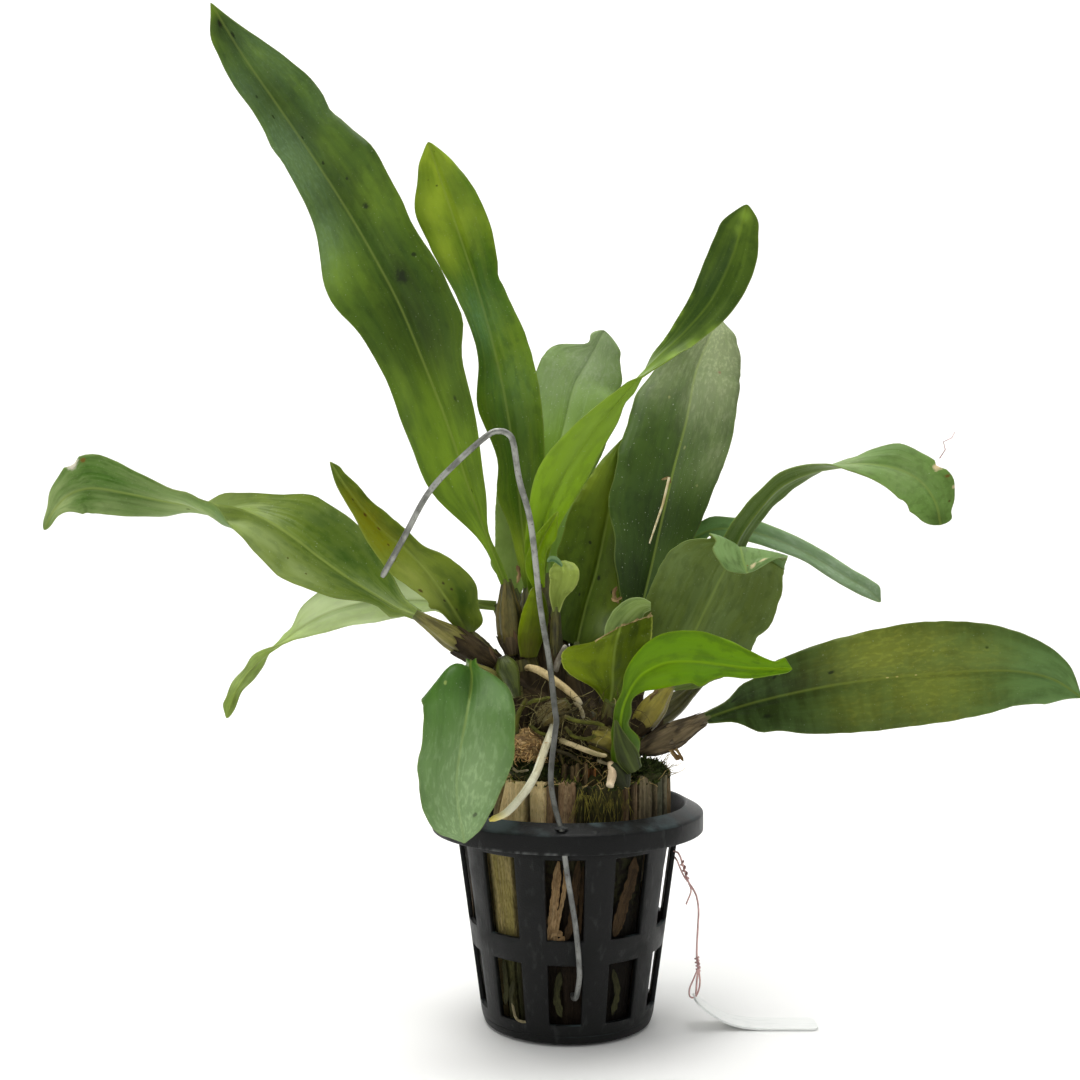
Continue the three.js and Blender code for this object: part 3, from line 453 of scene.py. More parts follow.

# Light and dark marks paint mottling, and also painted highlight and painted shade, such as leaf bases
# darkened where leaves above shade them.
# A row is x, y, z, the half widths left and right, and the roll in degrees, from the stalk to the tip.
# Marks are (along 0..1, across -1..1, size in mm, strength or colour).
# A margin's bulge or dent is (along, side -1 or 1, mm outwards, how far along it reaches).

leafForm = dict(rows=84, columns=22, spacing=1.35, crowd=1.3, lumps=0.5, edgeWave=0.35, groove=0.35)
leaves = {
    "leaf_tall_left": dict(
        rows=[
            (-19.3, -2, 135.3, 1.6, 1.6), (-25, -1, 150, 3.4, 3), (-31, 0, 166, 10.3, 5.4),
            (-37.5, 2, 185, 13, 9.3), (-45, 5, 204, 13.1, 12.1), (-53, 8, 223, 15.2, 16.6),
            (-62, 11, 240, 16.3, 15.9), (-72, 14, 257, 11.4, 17.2), (-83, 16, 274, 9.2, 14.9),
            (-94, 17, 290, 7.8, 13), (-105, 17, 306, 7.6, 8), (-114.5, 15, 321.5, 2, 2),
        ],
        wave=(1.6, 3.5, 0.1),
    ),
    "leaf_tall_middle": dict(
        rows=[
            (-12, 10, 133.4, 1.6, 1.6), (-14, 12, 150, 3.5, 4.5), (-16.5, 15, 173, 5, 9.5),
            (-20, 18, 195, 7.6, 11.6), (-24, 22, 213, 5.6, 11), (-29, 26, 231, 7.5, 8.6),
            (-35, 30, 249, 10.4, 10.8), (-41, 33, 267, 9.3, 9), (-46, 34, 282, 4, 4),
        ],
        wave=(0.8, 2.5, 0.3), tip=0.2,
    ),
    "leaf_back_dusty": dict(
        rows=[
            (-5.6, 17, 136.4, 1.6, 1.6), (-5, 27, 156, 5, 8), (-3, 34, 175, 7.5, 13),
            (0, 42, 188, 11, 15.5), (3.6, 50, 202, 14.4, 15.8), (8.4, 55, 211, 13.4, 12),
            (13.9, 57.4, 222.4, 2.6, 4.6),
        ],
        wave=(1, 2, 0), tip=0.06, fold=0.12,
    ),
    "leaf_bright_twisted": dict(
        rows=[
            (-9.6, 0, 130, 2.2, 2.2, 0), (-9.4, 0, 142.5, 4, 3.2, 0), (-7, 0, 155, 5.6, 5, 0),
            (-1.7, 1, 167.5, 8.2, 6.8, 0), (7.6, 2, 181.5, 6.6, 5.4, 20), (16.4, 1, 192.4, 5.2, 4.8, 50),
            (22.9, 0, 199.8, 5, 5, 92), (30.9, -1, 207.8, 4.8, 4.8, 126),
            (37.6, -2, 214.4, 5.9, 5.9, 150), (44.5, -4, 222.6, 7.3, 7.3, 162),
            (49.6, -5, 233, 7.8, 7.8, 170), (52.6, -6, 242.4, 6.6, 6.6, 176),
            (54.8, -7, 251.4, 3.8, 3.8, 180),
        ],
        fold=0.25, ridge=0.15,
    ),
    "leaf_broad_dark": dict(
        rows=[
            (23, 8, 125.4, 1.8, 1.8), (27, 12, 140, 9, 7.6), (31, 17, 156, 15.7, 12.2),
            (35, 23, 171, 18, 14.1), (40, 30, 188, 17.7, 15.4), (44, 38, 205, 12.6, 15.4),
            (48.6, 43, 216, 7.6, 12.4), (53, 47, 225.5, 2, 3),
        ],
        wave=(0.8, 2, 0.2), curl=0.24,
    ),
    "leaf_olive_back": dict(
        rows=[
            (3, 10, 114.9, 1.8, 1.8), (6, 14, 127, 8.6, 8), (10, 17.6, 140, 12.6, 10),
            (13, 20.4, 154, 12.7, 8), (16, 22, 168, 8.2, 6), (18.6, 26.6, 182, 1.6, 1.6),
        ],
    ),
    "leaf_back_pale": dict(
        rows=[
            (-16.2, 18.6, 131.4, 1.6, 1.6), (-15.8, 19.5, 143, 6.4, 5), (-17, 21, 154, 6.2, 6),
            (-18, 22, 165, 4.8, 4.4), (-20.6, 24, 176, 1.4, 1.4),
        ],
    ),
    "leaf_far_left": dict(
        rows=[
            (-45.8, -13.1, 126, 1.6, 1.6, 0), (-52.5, -9, 128.4, 2, 3.6, 0), (-61, -5, 133, 3.8, 9, 0),
            (-69.5, -1, 138, 8.2, 14, 0), (-78, 2, 143.7, 10.3, 15.5, 0), (-86, 4, 149.6, 10.3, 14.4, 5),
            (-96, 6, 155.4, 9.5, 10, 28), (-105.6, 6, 158.4, 7, 7.6, 60),
            (-114.6, 5, 159.6, 6.5, 6.5, 96), (-125.8, 2, 161, 6, 6.6, 138),
            (-137, -2, 163.2, 8.2, 7.5, 162), (-146.4, -5, 164.6, 10.6, 7.8, 172),
            (-152.6, -7, 162.6, 7.6, 6.2, 176), (-157, -8, 157.6, 2.4, 2.2, 180),
            (-160, -8, 151.8, 1.4, 1.4, 180),
        ],
        face=-1, fold=0.22, tip=0.05, keel=(1.7, 1.7, 0.53, 0.06),
    ),
    "leaf_left_low": dict(
        rows=[
            (-22.4, 6, 128, 1.5, 1.5, 0), (-31, 7, 128.8, 1.7, 1.7, 0), (-41.2, 8, 129.4, 3, 5, 0),
            (-53, 9, 129.7, 5.6, 9.6, 0), (-64, 9, 129, 7.2, 9.6, 0), (-75, 8, 126, 6.6, 7.4, 0),
            (-84, 6, 121, 3.8, 4.6, 15), (-90, 3, 116, 2, 2, 70), (-96.5, 1, 111, 2.8, 2.8, 150),
            (-101.8, -1, 103.6, 2.8, 2.8, 180), (-105.4, -3, 93.6, 1.6, 1.6, 180),
        ],
        tip=0.08,
    ),
    "leaf_left_spotted": dict(
        rows=[
            (-31.4, -3.3, 120.8, 1.5, 1.5), (-33.8, -7, 125.6, 3, 6), (-37.7, -11, 132, 4.6, 9.6),
            (-42.6, -14, 139, 7, 8), (-48.7, -16, 145.7, 8.2, 5.2), (-55.8, -17, 151.6, 5.7, 4.9),
            (-61.7, -18, 158.3, 3.4, 4.5), (-67, -19, 165.4, 2.2, 2.8), (-71, -19.5, 172, 1, 1),
        ],
        stalk=0.1,
    ),
    "leaf_hanging_front": dict(
        rows=[
            (-29.2, -16.3, 111.4, 1.5, 1.5), (-29.2, -22, 110.8, 2.6, 2.6), (-28.4, -29.6, 109.4, 9, 7.6),
            (-28.3, -36.4, 105.6, 12.4, 11.4), (-29, -43, 100, 12.2, 13.6), (-30.6, -47, 91, 10.8, 15),
            (-31.6, -49, 82.5, 10.4, 13.6), (-31.2, -49, 75, 9.6, 10.4), (-30.2, -47.5, 68.6, 6.8, 6),
            (-29.6, -46, 64.4, 2, 2),
        ],
        side=(1, 0, 0), face=-1, fold=0.26, keel=(2.2, 0.5, 0.26, 0.12),
    ),
    "leaf_right_arching": dict(
        rows=[
            (42.4, 5, 104.9, 1.6, 1.6, 0), (45.7, 6, 120.3, 3, 3, 0), (48.7, 5, 134.5, 5, 5, 15),
            (52.4, 3, 147, 5.4, 5, 35), (57.6, 1, 156.2, 5.4, 5.4, 42), (65.4, 0, 165, 5.8, 5.4, 48),
            (74.6, -1, 169.5, 5, 5, 62), (82.8, -2, 171.5, 5, 5, 92), (91.6, -4, 172, 6, 6, 132),
            (100, -7, 170.6, 7, 7, 160), (107, -10, 166.6, 8.2, 7.8, 172), (111, -12, 160.4, 7, 6.4, 178),
            (112.4, -13, 153.2, 4.6, 4.6, 180),
        ],
        face=-1, fold=0.25, tip=0.03, stalk=0.1,
    ),
    "leaf_right_narrow": dict(
        rows=[
            (24.6, 22.1, 129.7, 1.5, 1.5), (30.8, 24, 138.4, 2.2, 2.2), (39, 25, 147, 3.4, 2.8),
            (48, 25, 152, 3, 3), (58.7, 24, 151.8, 4, 3.4), (69.8, 22, 148.4, 3.6, 3.4),
            (81, 20, 142.8, 3.4, 3.2), (90.3, 17, 136.8, 3.2, 3), (96.4, 15, 133, 3, 2.8),
            (100.8, 14, 128.8, 1.6, 1.6),
        ],
    ),
    "leaf_right_low": dict(
        rows=[
            (41.8, -12, 95, 1.7, 1.7), (53, -13, 98.8, 4, 4.8), (66, -14, 102.2, 10.6, 11.6),
            (80, -14, 105, 13.4, 14.4), (94, -14, 107, 14.6, 15.2), (108, -13, 108.2, 15.5, 14.9),
            (122, -12, 109, 15, 13.4), (136, -10, 108.8, 11.9, 10.5), (148, -8, 106.2, 7.4, 7.6),
            (157.6, -6, 100.4, 2, 2),
        ],
        wave=(0.7, 2.5, 0.5),
    ),
    "leaf_right_folded": dict(
        rows=[
            (30.8, -8.2, 103.6, 1.6, 1.6), (35.5, -7, 113.5, 9.6, 13), (40, -6.4, 123, 16.6, 19.4),
            (43.3, -6.6, 130, 18.2, 20.4), (47, -8, 138, 17.6, 19.4), (49.8, -11, 144.6, 13, 17),
            (51.2, -15, 146.4, 10.6, 14.6), (52, -18.6, 142.6, 8, 11), (53, -20, 138.8, 3.4, 5),
        ],
        side=(0.93, 0, -0.37), face=-1, fold=0.2, tip=0.08,
    ),
    "leaf_cut_front": dict(
        rows=[
            (12.4, -16.4, 99.6, 1.7, 1.7), (13, -17.6, 104.6, 7, 4.4), (13.2, -18.4, 110.6, 13.4, 8.4),
            (13.8, -18.4, 116.4, 12.4, 10.2), (15.4, -17.4, 122.6, 8, 8.6),
        ],
        face=-1, tip=0, stalk=0.18, slant=6,
    ),
    "leaf_bright_front": dict(
        rows=[
            (16.6, -25.4, 82, 3.4, 3.6), (15.6, -26, 89, 4.4, 6), (15, -27, 96, 3.8, 4.6),
            (16.6, -29.4, 103, 3.6, 3.2), (20.4, -33, 109.6, 5, 5.6), (27, -37, 113.6, 8, 6.8),
            (34.4, -41, 114.4, 8.8, 6), (42, -44, 113.8, 7.6, 4.6), (50, -46, 113, 4.8, 3),
            (56.6, -46.6, 112.9, 2, 1.8), (61.6, -46, 112.8, 0.9, 0.9),
        ],
        baseFold=-0.9, stalk=0.16, base=1.2, tip=0.04,
    ),
    "leaf_young": dict(
        rows=[
            (-8.8, -5.2, 134, 1.8, 1.8), (-10, -5.6, 141, 3.2, 3), (-8.2, -6, 148, 2.6, 2.2),
            (-5, -6.4, 154, 1.4, 1.4), (-3, -6.6, 157.4, 0.6, 0.6),
        ],
        fold=0.6, base=1.4,
    ),
    "leaf_young_curled": dict(
        rows=[
            (-3.6, -8, 127, 1, 1), (-3.1, -9, 132, 2.5, 2.2), (-1.6, -9.6, 136.6, 3.3, 3.2),
            (-1.6, -8.6, 140.4, 3.6, 3.4), (-2.6, -6.4, 142, 3, 2.6),
        ],
        side=(1, 0, 0), tip=0.5, base=1.2,
    ),
    "shoot_keeled": dict(
        rows=[
            (-12.2, -9.2, 113, 2.4, 2.4), (-12, -9.6, 119, 3.4, 3.2), (-11.2, -9.4, 126, 3, 2.8),
            (-10.4, -9, 131, 2, 2.2), (-10.2, -8.8, 134.4, 1.2, 1.4),
        ],
        baseFold=-0.7, fold=-0.7, curl=0, base=2.4, thickness=1.6,
    ),
}


def bladeRows(leaf):
    # what the blade needs at each of its rows: place, flat, up, half widths, lift, thickness and ramp
    get = leaf.get
    columns = list(zip(*[(*row, 0)[:6] for row in leaf["rows"]]))  # a row without a roll has none
    side, tip, stalk = get("side"), get("tip", 0.14), get("stalk", 0.14)
    found = []
    for i in range(leafForm["rows"] + 1):
        t = 1 - (1 - i / leafForm["rows"]) ** leafForm["spacing"]
        x, y, z, left, right, roll = [between(column, t) for column in columns]
        for along, edge, bulge, reach in margins.get(leaf["name"], ()):
            wider = bulge * math.exp(-((t - along) / reach) ** 2)
            left, right = (left + wider, right) if edge < 0 else (left, right + wider)
        low = Vector([between(column, t - 0.01) for column in columns[:3]])
        high = Vector([between(column, t + 0.01) for column in columns[:3]])
        tangent = (high - low).normalized()
        flat = Vector(side) if side else Vector((0, 1, 0)).cross(tangent)
        flat = (flat - tangent * flat.dot(tangent)).normalized()
        flat.rotate(Matrix.Rotation(math.radians(roll), 3, tangent))
        up = flat.cross(tangent) * get("face", 1)
        end = max((t - (1 - tip)) / tip, 0) if tip else 0
        narrow = math.sqrt(max(1 - end ** 2, 0.004))
        folded = get("baseFold", 0.8)
        lift = folded + (get("fold", 0.3) - folded) * fade(0, 2 * stalk, t)
        thick = get("base", 2) + (get("thickness", 0.8) - get("base", 2)) * fade(0, stalk, t)
        ramp = fade(0.1, 0.35, t) * (1 - fade(0.9, 1, t))
        halves = (max(left, 0.4) * narrow, max(right, 0.4) * narrow)
        found.append(dict(
            t=t, place=Vector((x, y, z)), ahead=tangent, flat=flat, up=up, halves=halves,
            lift=lift, thick=thick, ramp=ramp,
        ))
    return found


def onBlade(leaf, row, v, seed):
    half = row["halves"][0 if v < 0 else 1]
    curl = leaf.get("curl", 0.18)
    rise = half * (row["lift"] * abs(v) - curl * v * v)
    if leaf.get("wave"):
        size, count, shift = leaf["wave"]
        swing = math.sin(2 * math.pi * (count * row["t"] + shift + (0.4 if v < 0 else 0)))
        rise += size * row["ramp"] * v * v * swing
    if leaf.get("keel"):
        left, right, along, reach = leaf["keel"]
        extra = (left if v < 0 else right) * (abs(v) - 1.2 * v * v)
        rise += half * extra * math.exp(-((row["t"] - along) / reach) ** 2)
    place = row["place"] + row["ahead"] * v * leaf.get("slant", 0) * fade(0.4, 1, row["t"])
    run = row["t"] * 100
    rise += leafForm["lumps"] * row["ramp"] * rough(run, v * half, seed, 14)
    rise += leafForm["edgeWave"] * row["ramp"] * abs(v) ** 3 * rough(run, 3 if v > 0 else -3, seed, 4)
    wide = v * half * (1 + 0.02 * row["ramp"] * rough(run, v * 2, seed + 5, 3))
    return place + row["flat"] * wide + row["up"] * rise


def acrossAt(u):
    w = 2 * u - 1
    return math.copysign(abs(w) ** leafForm["crowd"], w)


def mapAt(t, v, width, length):
    # where a mark lies on the leaf's surface map, in millimetres
    s = 1 - (1 - t) ** (1 / leafForm["spacing"])
    w = math.copysign(abs(v) ** (1 / leafForm["crowd"]), v)
    return (0.5 + 0.5 * w) * width, s * length


def waxyLeaf(name, look, width, length):
    # living leaf with a waxy skin: fine parallel veins, a pale midrib, mottling and a dusty bloom with
    # painted sheen
    painted = ("upper", "rib", "edge", "light", "dark", "bloom")
    material, tree, place, masks = startMaterial(name, painted)
    seed = seedOf(name, 97)
    get = look.get
    rib = addNode(tree, "MapRange", {0: masks["rib"], 1: 0.55, 2: 0.15}).outputs[0]
    edge = addNode(tree, "MapRange", {0: masks["edge"], 1: 0.5, 2: 0.1}).outputs[0]
    streaks = patches(tree, place, 1.6, 0.42, 0.62, stretch=(1, 0.035, 1), shift=seed)
    veins = patches(tree, place, 3.2, 0.46, 0.56, stretch=(1, 0.012, 1), detail=1, shift=seed + 9)
    cloud = patches(tree, place, get("cloud", 14), 0.38, 0.66, stretch=(1.6, 0.6, 1), shift=seed)
    mottle = patches(tree, place, 3.5, 0.46, 0.64, stretch=(1.3, 0.8, 1), detail=5, shift=seed + 5)
    specks = patches(tree, place, 0.5, 0.66, 0.72, detail=2, shift=seed + 6)
    grain = patches(tree, place, 1.1, 0.45, 0.7, stretch=(1, 0.5, 1), detail=4, shift=seed)
    sides = {0: masks["upper"], 6: hexColor(get("under", look["top"])), 7: hexColor(look["top"])}
    base = addNode(tree, "Mix", sides, data_type="RGBA").outputs[2]
    light, dark = get("light", "#7f9440"), get("dark", "#34421d")
    layers = [
        (cloud, 0.22, light), (mottle, 0.34, dark), (veins, 0.12, dark), (streaks, 0.09, light),
        (specks, 0.3, light),
    ]
    mottled = addNode(tree, "MapRange", {0: cloud, 3: 0.62, 4: 1.0}).outputs[0]
    # the light and dark marks paint mottling, and also painted highlight on lit faces and painted shade on
    # shaded ones
    for kind, colour in (("light", light), ("dark", dark)):
        mask = addNode(tree, "Math", {0: masks[kind], 1: mottled}, operation="MULTIPLY").outputs[0]
        layers.append((mask, 0.95, colour))
    layers.append((rib, get("rib", 0.35), get("ribColour", "#93a35a")))
    if get("bands"):
        bands = patches(tree, place, look["bands"], 0.42, 0.62, stretch=(0.16, 1, 1), shift=seed)
        layers.append((bands, 0.12, light))
    # this layer paints a dusty bloom and also painted sheen where the waxy skin reflects the sky
    dust = addNode(tree, "Math", {0: grain, 1: 0.35, 2: 0.65}, operation="MULTIPLY_ADD").outputs[0]
    bloom = addNode(tree, "Math", {0: masks["bloom"], 1: dust}, operation="MULTIPLY").outputs[0]
    flecks = patches(tree, place, 0.6, 0.66, 0.76, detail=3, shift=seed + 12)
    # the pale margin line is partly the leaf's own pale margin and partly painted highlight along the edge
    layers += [
        (bloom, 0.9, get("bloom", "#a3b08c")), (flecks, get("flecks", 0.25), "#c2cbb0"),
        (edge, get("edge", 0.3), get("edgeColour", "#8d9a58")),
    ]
    ragged = addNode(tree, "TexNoise", {"Vector": place, "Scale": 0.9, "Detail": 3}).outputs[0]
    for t, v, size, colour in get("spots", ()):
        x, y = mapAt(t, v, width, length)
        away = addNode(tree, "VectorMath", {0: place, 1: (x, y, 0)}, operation="DISTANCE").outputs["Value"]
        away = addNode(tree, "Math", {0: ragged, 1: size * 0.9, 2: away}, operation="MULTIPLY_ADD").outputs[0]
        spot = addNode(tree, "MapRange", {0: away, 1: size * 1.08, 2: size * 0.72}).outputs[0]
        layers.append((spot, 0.92, colour))
    tint = {"Color": layColours(tree, base, layers), "Saturation": 1.14, "Value": get("value", 0.9)}
    deep = addNode(tree, "HueSaturation", tint).outputs[0]
    sheen = {0: bloom, 1: 0.25, 2: get("sheen", 0.42)}
    dull = addNode(tree, "Math", sheen, operation="MULTIPLY_ADD").outputs[0]
    return finishMaterial(material, deep, dull, 0.13, 0, [(veins, 0.5), (streaks, 0.2), (grain, 0.12)], 0.1)


def makeLeaf(name, leaf):
    rows = bladeRows(leaf)
    seed = seedOf(name, 97)
    width = 2 * max(max(row["halves"]) for row in rows)
    length = sum((b["place"] - a["place"]).length for a, b in zip(rows, rows[1:]))
    look = leafLooks[name]
    marks = {kind: look.get(kind + "Marks", ()) for kind in ("light", "dark", "bloom")}

    def place(u, s):
        row, v = rows[round(s * leafForm["rows"])], acrossAt(u)
        half = row["halves"][0 if v < 0 else 1]
        point = onBlade(leaf, row, v, seed)
        values = dict(across=v, along=s, rib=abs(v) * half, edge=(1 - abs(v)) * half, upper=1)
        for kind, spots in marks.items():
            nears = []
            for t, side, size, power in spots:
                sideways = (v - side) * half / (0.5 * size)
                onwards = (row["t"] - t) * length / (0.75 * size)
                nears.append(power * math.exp(-sideways ** 2 - onwards ** 2))
            values[kind] = max(nears, default=0)
        return point, values

    bm = newPiece("across", "along", "rib", "edge", "upper", "light", "dark", "bloom")
    addGrid(bm, leafForm["columns"], leafForm["rows"], place, (width, length))
    below = set(extrudeCopy(bm, bm.faces[:]))
    across, along, upper = [bm.verts.layers.float[kind] for kind in ("across", "along", "upper")]
    for vert in bm.verts:
        row, v = rows[round(vert[along] * leafForm["rows"])], vert[across]
        half = row["halves"][0 if v < 0 else 1]
        thick = row["thick"] * (1 - 0.6 * fade(0.75, 1, abs(v)) * fade(0.05, 0.2, row["t"]))
        narrow = min(1, half / 3)
        if vert in below:
            vert[upper] = 0
            vert.co -= row["up"] * (thick / 2 + leaf.get("ridge", 0.45) * (1 - fade(0, 0.3, abs(v))) * narrow)
        else:
            groove = leafForm["groove"] * math.exp(-(v * half / 0.9) ** 2) * narrow
            groove *= fade(0.05, 0.2, row["t"])
            vert.co += row["up"] * (thick / 2 - groove)
    material = waxyLeaf(titleOf(name) + "Skin", look, width, length)
    finishPiece(bm, titleOf(name), material, [name], sharp=80)


margins = {
    "leaf_tall_left": [
        (0.2, -1, 0.9, 0.04), (0.5, -1, 2.6, 0.05), (0.76, -1, 0.8, 0.02), (0.96, -1, 2.8, 0.03),
        (0.1, 1, -1.8, 0.04), (0.4, 1, 2.5, 0.035), (0.68, 1, 1.4, 0.03), (0.76, 1, -1.2, 0.018),
        (0.82, 1, 0.7, 0.03), (0.06, 1, -0.7, 0.05), (0.06, -1, -0.7, 0.05),
    ],
    "leaf_tall_middle": [
        (0.2, -1, 2.6, 0.04), (0.36, -1, 1.7, 0.06), (0.84, -1, 1.8, 0.05), (0.95, -1, 1.6, 0.04),
        (0.64, 1, -0.8, 0.02), (0.95, 1, 0.8, 0.04),
    ],
    "leaf_back_dusty": [(0.91, -1, -5.6, 0.045), (0.84, 1, 1.6, 0.06), (0.95, 1, 1.4, 0.04)],
    "leaf_bright_twisted": [
        (0.42, 1, -2.2, 0.03), (0.48, -1, 1.8, 0.03), (0.54, 1, 2, 0.03), (0.95, 1, 1.8, 0.04),
        (0.97, -1, 1.8, 0.03),
    ],
    "leaf_broad_dark": [
        (0.45, -1, 1.1, 0.06), (0.61, -1, 1.5, 0.06), (0.28, -1, 2.6, 0.08), (0.12, -1, 4, 0.07),
        (0.02, -1, 4, 0.06), (0.5, 1, 0.7, 0.12), (0.95, 1, 2.6, 0.035), (0.1, 1, 4, 0.08),
        (0, 1, 3, 0.06),
    ],
    "leaf_olive_back": [
        (0.42, -1, 1.2, 0.05), (0.02, -1, 8, 0.12), (0.06, 1, 6, 0.08), (0.24, 1, 5.4, 0.13),
    ],
    "leaf_back_pale": [(0.18, -1, 3.1, 0.12)],
    "leaf_far_left": [
        (0.08, -1, 1.8, 0.02), (0.34, -1, 2.2, 0.06), (0.5, -1, 3, 0.035), (0.6, -1, 1.4, 0.02),
        (0.86, -1, -1.3, 0.03), (0.82, -1, -2, 0.008), (0.39, 1, 1.4, 0.03), (0.55, 1, 1.3, 0.03),
        (0.87, 1, 1.3, 0.03),
    ],
    "leaf_left_low": [
        (0.17, -1, 2, 0.02), (0.46, -1, -0.9, 0.06), (0.85, -1, -1.2, 0.04), (0.97, -1, 1.2, 0.02),
        (0.62, 1, -1.9, 0.035), (0.92, 1, -1.2, 0.04),
    ],
    "leaf_left_spotted": [
        (0.06, 1, 2.4, 0.06), (0.2, 1, 0.9, 0.07), (0.46, 1, -1.2, 0.06), (0.75, 1, -1, 0.06),
        (0.96, 1, 0.8, 0.03), (0.24, -1, 1.4, 0.02),
    ],
    "leaf_hanging_front": [
        (0.1, -1, -2.4, 0.05), (0.2, -1, -3.4, 0.05), (0.38, -1, 1.3, 0.06), (0.62, -1, 0.6, 0.04),
        (0.2, 1, -2.4, 0.07),
    ],
    "leaf_right_arching": [
        (0.4, -1, -1, 0.03), (0.6, -1, 1.1, 0.04), (0.93, -1, 1.6, 0.04), (0.78, -1, 0.7, 0.06),
        (0.42, 1, 1, 0.04), (0.56, 1, 2, 0.025), (0.64, 1, -1.2, 0.02), (0.74, 1, 1.7, 0.04),
        (0.88, 1, 1.1, 0.03), (0.96, 1, -1.6, 0.03), (0.84, 1, -1.4, 0.007),
    ],
    "leaf_right_narrow": [
        (0.34, -1, 1.4, 0.04), (0.94, -1, 1.3, 0.04), (0.32, 1, -1.4, 0.02), (0.64, 1, -0.6, 0.05),
    ],
    "leaf_right_low": [
        (0.12, -1, 2.2, 0.035), (0.2, -1, 1, 0.03), (0.5, -1, 0.6, 0.1), (0.13, 1, 2.7, 0.04),
        (0.92, 1, 1.4, 0.04),
    ],
    "leaf_right_folded": [
        (0.05, 1, 3, 0.04), (0.12, 1, 2.2, 0.03), (0.3, 1, -2.2, 0.06), (0.14, -1, 5.4, 0.09),
        (0.78, 1, 2.3, 0.07), (0.88, 1, 3, 0.04), (0.66, -1, -4, 0.05), (0.76, -1, -2, 0.03),
    ],
    "leaf_bright_front": [
        (0.31, -1, -1.6, 0.06), (0.31, 1, -1.4, 0.06), (0.19, -1, -1.6, 0.06), (0.17, 1, -2.6, 0.06),
        (0.1, -1, -1.2, 0.04), (0.64, 1, 1.3, 0.025), (0.72, 1, -1, 0.05), (0.95, -1, 1.8, 0.03),
    ],
    "leaf_young": [(0.62, 1, 1.8, 0.14)], "leaf_young_curled": [(0.6, -1, 1, 0.3), (0.6, 1, 1.6, 0.3)],
    "leaf_cut_front": [(0.75, -1, 2.6, 0.16), (0.45, -1, 1.6, 0.16), (1, -1, -2, 0.1)],
    "shoot_keeled": [(0.5, 1, 2.6, 0.35)],
}
